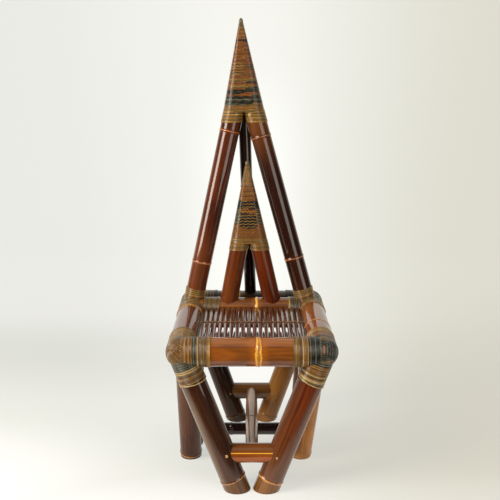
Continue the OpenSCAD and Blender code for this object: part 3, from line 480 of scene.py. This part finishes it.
class Weave:
    """Strips of flat cane in one mesh. A path and its outward directions are in millimetres."""

    def __init__(self, name):
        self.name, self.verts, self.faces, self.mats, self.uvs, self.slots = name, [], [], [], [], []

    def slot(self, dye):
        if dye not in self.slots:
            self.slots.append(dye)
        return self.slots.index(dye)

    def strip(self, path, outs, width, dye, thick=CANE_T, closed=False):
        """One strand along a path. Width and dye are one value, or functions of the point's number."""
        n, k, first = len(path), len(SECTION), len(self.verts)
        width_at = width if callable(width) else lambda i: width
        dye_at = dye if callable(dye) else lambda i: dye
        far, ends = 0.0, []
        for i, (p, out) in enumerate(zip(path, outs)):
            before = path[(i - 1) % n] if closed or i else path[0]
            after = path[(i + 1) % n] if closed or i < n - 1 else path[-1]
            side = out.cross((after - before).normalized()).normalized()
            if i:
                far += (p - path[i - 1]).length
            ends.append(far)
            w = width_at(i)
            for u, h in SECTION:
                self.verts.append((p + side * (u * w) + out * (h * thick)) / 1000)
        for i in range(n if closed else n - 1):
            j = (i + 1) % n
            name = dye_at(i)
            u0, u1 = ends[i] / 1000, (ends[j] if j else far + (path[0] - path[-1]).length) / 1000
            for c in range(k - 1):
                self.faces.append((first + i * k + c, first + i * k + c + 1, first + j * k + c + 1, first + j * k + c))
                off = STRIP_SHIFT * (len(self.slots) + first % 7)
                v0, v1 = SECTION[c][0] * STRIP_UV + off, SECTION[c + 1][0] * STRIP_UV + off
                self.uvs.append(((u0, v0), (u0, v1), (u1, v1), (u1, v0)))
                self.mats.append(self.slot(name))
        if not closed:
            for row, name in ((0, dye_at(0)), (n - 1, dye_at(n - 2))):
                face = [first + row * k + c for c in range(k)]
                self.faces.append(tuple(face if row else reversed(face)))
                self.uvs.append(tuple((0.0, c * 0.001) for c in range(k)))
                self.mats.append(self.slot(name))

    def lathe(self, centre, axis, rows, dye, steps=28):
        """A turned piece: rows are (distance along the axis, radius)."""
        e1, e2 = sides(axis)
        first = len(self.verts)
        du, dv = 0.002, 0.003
        for s, r in rows:
            for i in range(steps):
                a = 2 * math.pi * i / steps
                self.verts.append((centre + axis * s + (e1 * math.cos(a) + e2 * math.sin(a)) * r) / 1000)
        for j in range(len(rows) - 1):
            a, b = first + j * steps, first + (j + 1) * steps
            for i in range(steps):
                m = (i + 1) % steps
                self.faces.append((a + i, a + m, b + m, b + i))
                self.uvs.append(((i * du, j * dv), (i * du + du, j * dv), (i * du + du, j * dv + dv),
                                 (i * du, j * dv + dv)))
                self.mats.append(self.slot(dye))

    def finish(self, *nodes):
        mesh = bpy.data.meshes.new(self.name)
        mesh.from_pydata([tuple(v) for v in self.verts], [], self.faces)
        for dye in self.slots:
            mesh.materials.append(CANES[dye])
        layer = mesh.uv_layers.new(name="UVMap")
        for poly, uv, mat in zip(mesh.polygons, self.uvs, self.mats):
            poly.use_smooth = True
            poly.material_index = mat
            for loop, c in zip(poly.loop_indices, uv):
                layer.data[loop].uv = c
        mesh.update()
        obj = bpy.data.objects.new(self.name, mesh)
        bpy.context.scene.collection.objects.link(obj)
        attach(obj, "root")
        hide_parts(*nodes)
        return obj


# ---------------------------------------------------------------- turns of cane
LIFT = 0.1                                      # a strand's bottom over what it lies on
TURN_W, TURN_STEPS, TURN_COVER = 3.4, 40, 0.93  # a turn's pitch, its points and the share of the pitch it covers
RING_STEPS = 56
BEAD_W, BEAD_T, BEAD_ROOM = 3.2, 2.7, 9.5       # a bead strand's width and thickness, and the bead's whole width


def wrap(weave, p, q, r, s0, s1, dye, width=TURN_W, level=False):
    """Even turns of one cane round the axis p-q, from s0 to s1 along it. dye names each turn's dye from its place
    and number. A level wrapping has level edges on a leaning post."""
    axis = (q - p).normalized()
    e1, e2 = sides(axis)
    begin = -math.pi / 2 if abs(axis.z) > 0.5 else math.pi / 2
    turns = max(1, round((s1 - s0) / width))
    pitch = (s1 - s0) / turns
    path, outs = [], []
    for i in range(turns * TURN_STEPS + 1):
        t = i / TURN_STEPS
        turn = int(t)
        a = begin + 2 * math.pi * t
        out = e1 * math.cos(a) + e2 * math.sin(a)
        s = min(max(s0 + pitch * t, s0 + pitch / 2), s1 - pitch / 2)
        wobble = 0.1 * jitter(turn) + 0.05 * math.sin(3 * a + turn)
        if level:
            wobble -= r * out.z / axis.z
        path.append(p + axis * (s + wobble) + out * (r + LIFT + 0.14 * jitter(turn + 50)))
        outs.append(out)
    weave.strip(path, outs, pitch * TURN_COVER,
                lambda i: dye(s0 + pitch * int(i / TURN_STEPS), int(i / TURN_STEPS)))


def ring(weave, p, q, r, s, width, thick, dye, tilt=0.0, phase=0.0):
    """One closed turn of cane, level or tilted, at s along the axis."""
    axis = (q - p).normalized()
    e1, e2 = sides(axis)
    path, outs = [], []
    for i in range(RING_STEPS):
        a = 2 * math.pi * i / RING_STEPS
        out = e1 * math.cos(a) + e2 * math.sin(a)
        path.append(p + axis * (s + tilt * math.cos(a - phase)) + out * (r + LIFT))
        outs.append(out)
    weave.strip(path, outs, width, dye, thick, closed=True)


def wrap_to_bead(weave, p, q, r, s0, s1, dye, bead, width=TURN_W):
    """Turns from s0 that end in a bead of a few raised strands, whose last edge is at s1."""
    wrap(weave, p, q, r, s0, s1 - BEAD_ROOM, dye, width)
    for i, name in enumerate(bead):
        ring(weave, p, q, r, s1 - BEAD_W * (i + 0.5), BEAD_W, BEAD_T - 0.1 * i, name)


# ---------------------------------------------------------------- corners
CABIN_T, CABIN_STEPS, CABIN_COVER = CANE_T - 0.3, 9, 0.88
QUARTER = math.pi / 4                           # a side of the ball reaches so far from its middle
UNDER_WRAP = 0.3                                # the cosine to a rail's axis from which its wrapping covers the ball
RAIL_START, CROSS_END = 1, 82                   # the rails' wrappings, along their axes from the ball's middle
LEG_WRAP, SIDE_LEG_WRAP = (18, 85), (30, 84)    # the legs' wrappings, along their axes from their tops


def cabin(weave, centre, face, up, count, dye, core=(0.0, 0.0), hide=()):
    """Nested rectangles of cane on one side of a corner's ball, as the strands that cross there lie. They are laid
    out in equal angles round a core of the given half angles. hide holds the directions of the rails, under whose
    wrappings no strand is laid."""
    low = BALL_R - CABIN_T
    v = (up - face * up.dot(face)).normalized()
    u = v.cross(face)

    def way(a, b):
        return (face + u * math.tan(a) + v * math.tan(b)).normalized()

    def lay(line, beside, name):
        """One strand along line(t), t from 0 to 1, as wide as the way to the same place on its neighbour."""
        runs = [[]]
        for i in range(CABIN_STEPS + 1):
            out = line(i / CABIN_STEPS)
            if any(out.dot(h) > UNDER_WRAP for h in hide):
                runs.append([])
            else:
                runs[-1].append((out, (beside(i / CABIN_STEPS) - out).length * low))
        for run in runs:
            if len(run) > 1:
                weave.strip([centre + out * low for out, _ in run], [out for out, _ in run],
                            lambda i: run[i][1] * CABIN_COVER, name, CABIN_T)

    a0, b0 = core
    da, db = (QUARTER - a0) / count, (QUARTER - b0) / count
    if a0:
        lay(lambda t: way(0.0, b0 * (2 * t - 1)), lambda t: way(2 * a0, b0 * (2 * t - 1)), "orange")
    for k in range(count):
        a, b = a0 + (k + 0.5) * da, b0 + (k + 0.5) * db
        for s in (-1, 1):
            lay(lambda t: way(s * a, (b + db / 2) * (2 * t - 1)),
                lambda t: way(s * (a + da), (b + db / 2) * (2 * t - 1)), dye(k))
            if k or a0:
                lay(lambda t: way((a - da / 2) * (2 * t - 1), s * b),
                    lambda t: way((a - da / 2) * (2 * t - 1), s * (b + db)), dye(k))


def corner(name, side_end, count, dyes, core=(0.0, 0.0), turn=0.0, tip=0.0):
    """The cane of one corner: the ball, the ends of its two rails and the tops of its two legs. The ball's outer
    side is tipped up and turned, has count rectangles, and side_end is where the side rail's wrapping ends."""
    end, side = name.split("_")
    f, s = (-1 if end == "front" else 1), (-1 if side == "left" else 1)
    foot, middle, leg_r = LEGS[f"{end}_{side}_leg"]
    side_foot, side_top, side_r = LEGS[f"{side}_{end}_leg"]
    w = Weave(name + "_cane")
    e3 = Y * f * math.cos(tip) + Z * math.sin(tip)
    high = Z * math.cos(tip) - Y * f * math.sin(tip)
    e1 = X * math.cos(turn) + high * math.sin(turn)
    e2 = high * math.cos(turn) - X * math.sin(turn)
    along_cross, along_side = -X * s, -Y * f
    hide = (along_cross, along_side)
    cabin(w, middle, e3, e2, count, dyes["ball"], core, hide)
    for face, up in ((e1, e2), (-e1, e2), (e2, e3), (-e2, e3)):
        inward = face.dot(along_cross)
        if inward < 0.9:  # the side that faces the other corner lies under the rail's wrapping
            cabin(w, middle, face, up, count, dyes["ball" if inward < -0.9 else "flank"], hide=hide)
    wrap_to_bead(w, middle, middle + along_cross, RAIL_R, RAIL_START, CROSS_END, dyes["cross"], dyes["bead"])
    wrap_to_bead(w, middle, middle + along_side, RAIL_R, RAIL_START, side_end, dyes["side"], dyes["side_bead"])
    wrap(w, middle, foot, leg_r, *LEG_WRAP, dyes["leg"])
    # two tilted turns cross just below the leg's wrapping
    ring(w, middle, foot, leg_r, 88, 3.2, 2.6, "light", tilt=4.5, phase=0.5)
    ring(w, middle, foot, leg_r, 88.5, 3.0, 2.3, "olive", tilt=5.0, phase=3.6)
    wrap(w, side_top, side_foot, side_r, *SIDE_LEG_WRAP, dyes["side_leg"])
    w.finish(name + "_binding")


corner("front_left", 94, 12, {
    "ball": by_ring("gold", "slat", "tan", "brown"),
    "flank": by_ring("tan", "olive", "tan", "rust", "grey"),
    "cross": bands((0, ("tan", "gold", "brown")), (31, ("green", "green", "grey")),
                   (40, ("olive", "light", "brown", "olive", "grey", "tan")), (62, ("tan", "brown", "olive"))),
    "bead": ("gold", "gold", "tan"),
    "side": bands((0, ("grey",)), (8, ("tan", "olive", "tan")), (60, ("tan", "gold", "olive"))),
    "side_bead": ("olive", "tan", "olive"),
    "leg": bands((0, ("green", "grey")), (44, ("tan", "light")), (54, ("olive", "tan", "olive", "brown", "tan"))),
    "side_leg": mixed("tan", "olive", "brown"),
}, turn=math.pi / 4, tip=0.42)
corner("front_right", 94, 11, {
    "ball": by_ring("black", "green", "grey"),
    "flank": by_ring("grey", "tan", "brown", "olive", "tan", "rust"),
    "cross": bands((0, ("black", "green", "black", "grey")), (41, ("gold", "amber", "tan")),
                   (50, ("tan", "light", "brown", "olive"))),
    "bead": ("olive", "tan", "gold"),
    "side": bands((0, ("green", "black")), (20, ("tan", "rust", "brown")), (60, ("tan", "gold"))),
    "side_bead": ("gold", "tan", "tan"),
    "leg": bands((0, ("black", "grey")), (30, ("brown", "tan", "amber", "tan")),
                 (56, ("tan", "brown", "tan", "light", "olive"))),
    "side_leg": mixed("tan", "rust", "gold"),
}, core=(math.radians(3.0), math.radians(17)), tip=0.46)
corner("rear_left", 168, 7, {
    "ball": by_ring("grey", "green", "olive"),
    "flank": by_ring("grey", "green", "olive"),
    "cross": mixed("olive", "tan", "grey", "gold"),
    "bead": ("olive", "grey", "olive"),
    "side": bands((0, ("green", "grey", "olive")), (110, ("olive", "gold", "tan", "green"))),
    "side_bead": ("gold", "gold", "tan"),
    "leg": mixed("olive", "grey"),
    "side_leg": mixed("olive", "tan"),
})
corner("rear_right", 134, 7, {
    "ball": by_ring("grey", "olive", "green"),
    "flank": by_ring("grey", "olive", "green"),
    "cross": mixed("grey", "green", "olive"),
    "bead": ("olive", "grey", "olive"),
    "side": bands((0, ("grey", "green", "olive")), (90, ("olive", "grey", "tan"))),
    "side_bead": ("tan", "grey", "tan"),
    "leg": mixed("olive", "grey"),
    "side_leg": mixed("tan", "gold"),
})


# ---------------------------------------------------------------- posts' feet
POST_WRAP_Z = SEAT_Z + 31                       # where a tall post's wrapping ends
POST_START, INNER_START = 36, 38                # where the wrappings begin, along their axes from a rail's axis


def post_foot(side, foot, inner_end, inner, inner_bead):
    """The cane round a tall post's foot, and round the inner rail up to inner_end from the side rail's axis."""
    w = Weave(side + "_post_cane")
    start = at_z(foot, TALL_MEET, RAIL_Z)
    post_end = (POST_WRAP_Z - RAIL_Z) * (TALL_MEET - foot).length / (TALL_MEET.z - foot.z)
    wrap_to_bead(w, start, TALL_MEET, TALL_R, POST_START, post_end, mixed("tan", "gold", "olive", "tan", "brown"),
                 ("tan", "olive", "gold"), width=3.1)
    edge = Vector(((-1 if side == "left" else 1) * HALF_W, INNER_Y, RAIL_Z))
    wrap_to_bead(w, edge, Vector((0, INNER_Y, RAIL_Z)), RAIL_R, INNER_START, inner_end, inner, inner_bead)
    w.finish(side + "_post_binding")


post_foot("left", TALL_FEET[0], 92, mixed("olive", "brown", "tan", "olive"), ("tan", "olive", "brown"))
post_foot("right", TALL_FEET[1], 78, mixed("olive", "brown", "grey", "green"), ("tan", "light", "olive"))


# ---------------------------------------------------------------- spires
SPIRE_COVER, SPIRE_LIFT = 0.94, 0.3             # a loop's share of its pitch, and its lift off the posts
TIP_GAP = 3                                     # from the last loop up to the tip
WAVES_IN, WAVES_OUT = 30, 60                    # the heights in which the waves grow above the fork and end at the tip
CAP = ((-12, 5.4), (-8, 6.4), (-3, 6.2), (0.4, 5.2), (2.6, 3.6), (3.9, 1.8), (4.4, 0.05))  # along the axis, radius
KNOT = ((-2, 1.0), (0, 5.4), (2.4, 6.2), (4.6, 5.0), (6.2, 2.6), (6.8, 0.1))
KNOT_AT = Vector((-5, 161.5, 1034))             # at the front of the tall spire's fork


def loop_places():
    """One loop round two side by side posts, from the middle of the back: (share towards the left post, angle)."""
    steps, flat = 14, 8  # round a post, and along half a flat side
    loop = [(0.5 + 0.5 * i / flat, 90.0) for i in range(flat)]
    loop += [(1.0, 90 + 180.0 * i / steps) for i in range(steps)]
    loop += [(1.0 - i / (2 * flat), 270.0) for i in range(2 * flat)]
    loop += [(0.0, 270 + 180.0 * i / steps) for i in range(steps)]
    loop += [(0.5 * i / flat, 90.0) for i in range(flat)]
    return loop


def spire(name, feet, meet, fork, tip, r, width, wave, beat, dye, low_end, low_dye):
    """The loops of a spire, from the fork of its posts to a cap on its tip, and a level wrapping below the fork on
    each post. On the front the loops wave up and down, beat times over the width."""
    w = Weave(name + "_cane")
    top = tip - Z * TIP_R
    left, right = at_z(feet[0], meet, fork), at_z(feet[1], meet, fork)
    places = loop_places()
    n = len(places)
    high = top.z - fork - TIP_GAP
    turns = int(high / width)
    pitch = high / turns
    path, outs, marks = [], [], []
    for i in range(turns * n + 1):
        share, deg = places[i % n]
        t = i / n
        a = math.radians(deg)
        radial = Vector((math.cos(a), math.sin(a), 0))
        across = 0.5 - share + 0.5 * math.cos(a)        # from -1 at the left edge to 1 at the right edge
        front = max(0.0, -math.sin(a))
        h = pitch * t
        size = min(1.0, h / WAVES_IN, (high - h) / WAVES_OUT)
        h += wave * front * size * math.cos(beat * math.pi * across + 1.3 * math.sin(h / 9))
        h = min(max(h, pitch / 2), high - pitch / 2)
        base = right.lerp(left, share) + radial * (r + SPIRE_LIFT)
        slope = (top + radial * (TIP_R + SPIRE_LIFT) - base).normalized()
        out = (radial - slope * radial.dot(slope)).normalized()
        path.append(base + slope * (h / slope.z) + out * (0.12 * jitter(int(t) + 9)))
        outs.append(out)
        marks.append((fork + pitch * t, across, front))
    w.strip(path, outs, pitch * SPIRE_COVER, lambda i: dye(*marks[i], int(i / n)))
    w.lathe(top, Z, CAP, "olive")
    for foot in feet:
        wrap(w, at_z(foot, meet, fork), foot, r, -8, low_end, low_dye, level=True)
    return w


def tall_dye(z, u, front, k):
    """The dye of the tall spire's loop k at height z, from the tip down; u goes from -1 at the left to 1."""
    if z > 1302:
        return "olive"
    if z > 1292:
        return nth(k, ("tan", "olive"))
    if z > 1261:
        return nth(k, ("amber", "rust", "tan"))
    if z > 1255:
        return "black"
    if z > 1190:
        return nth(k, ("rust", "amber", "rust", "brown", "amber") if u < 0.25 else ("rust", "brown", "amber"))
    if z > 1174 and u > 0:
        return nth(k, ("olive", "brown"))
    if z > 1158:
        return nth(k, ("tan", "brown") if u < 0 else ("amber", "brown", "rust"))
    climb = z - 9 * max(0.0, u + 0.15) * front + 2.2 * jitter(k)    # the dark bands rise to the right
    if 1127 < climb < 1131 and u > -0.15:
        return "green"
    if climb >= 1113:
        return nth(k, ("amber", "brown", "rust", "olive", "tan"))
    if climb > 1098:
        return "black" if u < 0 and k % 3 else "green"
    if climb >= 1089:
        return "rust" if u > -0.2 else "brown"
    if climb > 1064:
        return nth(k, ("green", "grey", "green", "black"))
    return nth(k, ("olive", "tan", "amber", "tan", "amber"))


def small_dye(z, u, front, k):
    """The dye of the small spire's loop k: two dark zigzag fields on its front, with a golden one between them."""
    field = front > 0.35 and -0.62 < u < 0.6
    if z > 815:
        return nth(k, ("tan", "olive", "tan", "amber"))
    if z > 766:
        return nth(k, ("amber", "rust", "tan", "amber", "brown"))
    if z > 742:
        return nth(k, ("black", "black", "tan") if field else ("black", "green", "black"))
    if z >= 727:
        return nth(k, ("gold", "rust", "brown") if field else ("green", "tan"))
    if z > 678 + 9 * abs(u) and field:
        return nth(k, ("black", "black", "tan"))
    if z > 694:
        return nth(k, ("green", "grey", "olive") if u < 0 else ("tan", "grey", "green"))
    if z > 652:
        return nth(k, ("amber", "rust", "amber"))
    return nth(k, ("tan", "amber", "olive", "tan"))


tall = spire("tall_spire", TALL_FEET, TALL_MEET, TALL_FORK, TALL_TIP, TALL_R, 4.0, 1.0, 4.0, tall_dye,
             33, mixed("tan", "olive", "gold"))
tall.lathe(KNOT_AT, -Y, KNOT, "light", 16)
tall.finish("tall_spire_binding")
small = spire("small_spire", SMALL_FEET, SMALL_MEET, SMALL_FORK, SMALL_TIP, SMALL_R, 3.0, 1.4, 5.5, small_dye,
              24, mixed("tan", "tan", "olive", "amber"))
small.finish("small_spire_binding")


# ---------------------------------------------------------------- the slats' tie
TIE_STEPS, TIE_W, TIE_T, TIE_Z = 12, 2.2, 1.5, 427.4
SLAT_FRONT, SLAT_REAR = -206, 128               # the slats' open length between their rails
LIP_Z, LIP_T, LIP_STEP = 419.6, 2.2, 6          # the split strips in the gaps between the slats
LIPS = ((SLAT_FRONT, -100, 5.2, 0), (-56, 6, 4.0, 12))  # a strip's front end, rear end, width and front taper
REAR_TAPER = 22                                 # all strips' rear taper
EDGE_X, EDGE_Z, EDGE_W, EDGE_T, EDGE_STEP = 155.2, 420.5, 5.4, 2.4, 9   # a strip along each outer slat


def seat_tie():
    """Two strands that cross the slats, rise over each and dip into each gap. Split strips narrow the gaps at the front
    rail and at the tie, and one more lies along each outer slat. These strips are dark cane, painted shade where the
    floor would show through the gaps."""
    w = Weave("seat_tie_cane")

    def lay(path, width, dye, thick):
        w.strip(path, [Z] * len(path), width, dye, thick)

    for s in (-1, 1):
        path = []
        for i in range(SLATS * TIE_STEPS + 1):
            phase = (i / TIE_STEPS) % 1
            dip = max(0.0, abs(phase - 0.5) * 2 - 0.86) / 0.14
            path.append(Vector((FIRST_GAP + SLAT_PITCH * i / TIE_STEPS,
                                TIE_Y + s * TIE_W + 0.7 * math.sin(math.pi * i / TIE_STEPS),
                                TIE_Z - 0.9 * (2 * phase - 1) ** 2 - 2.6 * dip)))
        lay(path, TIE_W, "tan" if s > 0 else "brown", TIE_T)
    for s in (-1, 1):
        lay([Vector((s * (-FIRST_GAP + 3 * i), TIE_Y + TIE_W, 426.2 + 0.4 * math.sin(i))) for i in range(4)],
            TIE_W, "tan", TIE_T)
    # dark strips in the gaps: painted shade where the floor would show through
    for i in range(SLATS + 1):
        for y0, y1, full, taper in LIPS:
            path = [Vector((FIRST_GAP + SLAT_PITCH * i + 0.4 * math.sin(y + 5 * i), y, LIP_Z))
                    for y in range(y0, y1 + 1, LIP_STEP)]
            widths = [full * min(1.0, 0.12 + (y1 - p.y) / REAR_TAPER, 0.12 + (p.y - y0) / taper if taper else 1.0)
                      for p in path]
            lay(path, lambda j: widths[j], "slat", LIP_T)
    # dark strips along the outer slats: painted shade beside the side rails
    for s in (-1, 1):
        lay([Vector((s * EDGE_X, y, EDGE_Z + 0.3 * math.sin(y))) for y in range(SLAT_FRONT, SLAT_REAR, EDGE_STEP)],
            EDGE_W, "slat", EDGE_T)
    w.finish("slat_tie")


seat_tie()


# ---------------------------------------------------------------- floor, backdrop, light, camera
BEND_Y, BEND_R, BEND_STEPS = 3.0, 1.6, 12       # where the floor turns up into the wall
FLOOR_FRONT, WALL_TOP, PAPER_HALF_W = -6.0, 7.0, 9
FLOOR_DROP = 0.0002                             # keeps the floor clear of the feet
PAPER_LIFT = (1.13, 1.13, 1.13, 1.0)
WARM = (1.0, 0.93, 0.83)
ROOM_LIGHT, ROOM_SEEN = 0.06, 0.7               # the world's strength as a light, and how much more the camera sees
PHOTO_PX, FOCAL_PX, SENSOR = 500, 774.84, 36.0
EYE, EYE_TILT = (-0.00523, -2.2663, 1.1304), 0.2123


def paper():
    """What the camera and the lacquer see of the paper is mostly its own bright light, painted with light and shade:
    darker to the right, in a band behind the chair and high up, lighter in front, brighter towards the back, and with a
    soft painted glow behind the chair. The rest is lit, so that the chair's shadow stays. In the lacquer the paper ends
    a little in front of the chair, where the studio is dark."""
    m = Mat("paper")
    here = m.coord()
    x, y, z = (m.axis(here, i) for i in range(3))
    back = m.add(y, m.mul(z, 0.5))                              # how far back, along floor and wall
    across = m.math("DIVIDE", x, m.add(1.0, m.mul(m.top(back, -0.4), 0.4)))    # x, narrowed as the camera sees it
    # painted shade: the paper darker to the right
    tone = m.mix(m.span(across, -0.35, 0.85), rgb(232, 233, 227), rgb(221, 219, 206))
    # painted shade: a greyer band on the floor behind the chair
    tone = m.mix(m.mul(m.span(y, 0.3, 0.85), m.span(back, 0.95, 1.5, 0.30, 0.0)), tone,
                 m.mix(m.span(across, -0.2, 0.3), rgb(196, 198, 188), rgb(214, 212, 198)))
    # painted light: the floor lighter in front of the chair
    front = m.top(m.mul(m.span(y, 0.3, -0.22), m.span(across, -1.0, -0.2, 1.0, 0.0)),
                  m.mul(m.span(y, -0.12, -0.36, 0.0, 0.7), m.span(across, 0.5, -0.1, 0.3, 1.0)))
    tone = m.mix(front, tone, rgb(255, 255, 252))
    # painted shade: greyer high up on the wall
    tone = m.mix(m.span(z, 2.6, 4.2, 0.0, 0.35), tone, rgb(200, 206, 200))
    # painted light: a soft glow behind the chair
    side = m.gap(across, -0.005)
    painted_glow = m.add(m.span(side, 0.0, 0.62, 0.42, 0.0),
                 m.mul(m.span(side, 0.04, 0.24, 0.5, 0.0), m.span(z, 0.5, 1.5, 1.0, 0.2)))
    painted_glow = m.mul(painted_glow, m.span(y, -0.1, 0.35))
    tone = m.mix(m.mul(painted_glow, m.span(z, 1.4, 3.6, 1.0, 0.6)), tone, rgb(255, 255, 251))

    def blend(fac, a, b):
        return m.node("ShaderNodeMixShader", {0: fac, 1: a, 2: b}).outputs[0]

    # painted light: the paper brighter towards the back
    lifted = m.mix(m.span(back, 0.3, 2.6, 0.15, 1.0), tone, m.mix(1.0, tone, PAPER_LIFT, "MULTIPLY"))
    lit = m.node("ShaderNodeBsdfDiffuse", {"Color": tone}).outputs[0]
    bright = m.node("ShaderNodeEmission", {"Color": lifted}).outputs[0]
    dark = m.node("ShaderNodeEmission", {"Color": (0.03, 0.03, 0.03, 1.0)}).outputs[0]
    ray = m.node("ShaderNodeLightPath", {}).outputs
    seen = m.top(ray["Is Camera Ray"], m.top(ray["Is Glossy Ray"], ray["Is Transmission Ray"]))
    both = blend(m.mul(seen, m.span(back, 0.0, 1.0, 0.7, 0.84)), lit, bright)
    return m.close(blend(m.mul(ray["Is Glossy Ray"], m.span(y, -0.62, -0.42, 1.0, 0.0)), both, dark))


def backdrop():
    """A floor that curves up into a wall."""
    bend = [math.pi / 2 * i / BEND_STEPS for i in range(BEND_STEPS + 1)]
    rows = [(FLOOR_FRONT, 0.0)] + [(BEND_Y + BEND_R * math.sin(a), BEND_R - BEND_R * math.cos(a)) for a in bend]
    rows.append((BEND_Y + BEND_R, WALL_TOP))
    verts = [(x, y, z - FLOOR_DROP) for y, z in rows for x in (-PAPER_HALF_W, PAPER_HALF_W)]
    faces = [(2 * i, 2 * i + 1, 2 * i + 3, 2 * i + 2) for i in range(len(rows) - 1)]
    mesh = bpy.data.meshes.new("backdrop")
    mesh.from_pydata(verts, [], faces)
    for p in mesh.polygons:
        p.use_smooth = True
    obj = bpy.data.objects.new("backdrop", mesh)
    bpy.context.scene.collection.objects.link(obj)
    mesh.materials.append(paper())


def softbox(name, place, target, wide, high, power, colour=(1, 1, 1)):
    lamp = bpy.data.lights.new(name, "AREA")
    lamp.shape = "RECTANGLE"
    lamp.size, lamp.size_y, lamp.energy, lamp.color = wide, high, power, colour
    obj = bpy.data.objects.new(name, lamp)
    obj.location = place
    obj.rotation_euler = (Vector(target) - Vector(place)).to_track_quat("-Z", "Y").to_euler()
    bpy.context.scene.collection.objects.link(obj)


def room():
    """A world that is dim as a light, and pale where the camera looks past the paper."""
    world = bpy.data.worlds.new("room")
    bpy.context.scene.world = world
    world.use_nodes = True
    tree = world.node_tree
    background = tree.nodes["Background"]
    background.inputs["Color"].default_value = (0.93, 0.94, 0.92, 1)
    strength = tree.nodes.new("ShaderNodeMath")
    strength.operation = "MULTIPLY_ADD"
    strength.inputs[1].default_value, strength.inputs[2].default_value = ROOM_SEEN, ROOM_LIGHT
    tree.links.new(tree.nodes.new("ShaderNodeLightPath").outputs["Is Camera Ray"], strength.inputs[0])
    tree.links.new(strength.outputs[0], background.inputs["Strength"])


def photo_camera():
    camera = bpy.data.cameras.new("camera")
    camera.sensor_width, camera.lens = SENSOR, SENSOR * FOCAL_PX / PHOTO_PX
    camera.clip_end = 50
    eye = bpy.data.objects.new("camera", camera)
    eye.location = EYE
    eye.rotation_euler = (math.pi / 2 - EYE_TILT, 0, 0)
    bpy.context.scene.collection.objects.link(eye)
    bpy.context.scene.camera = eye


backdrop()
softbox("left_box", (-2.25, -1.22, 1.7), (0, 0, 0.6), 1.4, 2.3, 118, WARM)
softbox("right_box", (1.7, -2.2, 1.35), (0, 0, 0.75), 1.7, 2.5, 44, WARM)
softbox("top_box", (0, 0.2, 3.4), (0, 0, 0), 5.2, 5.2, 44)
room()
photo_camera()
bpy.context.scene.view_settings.view_transform = "Standard"
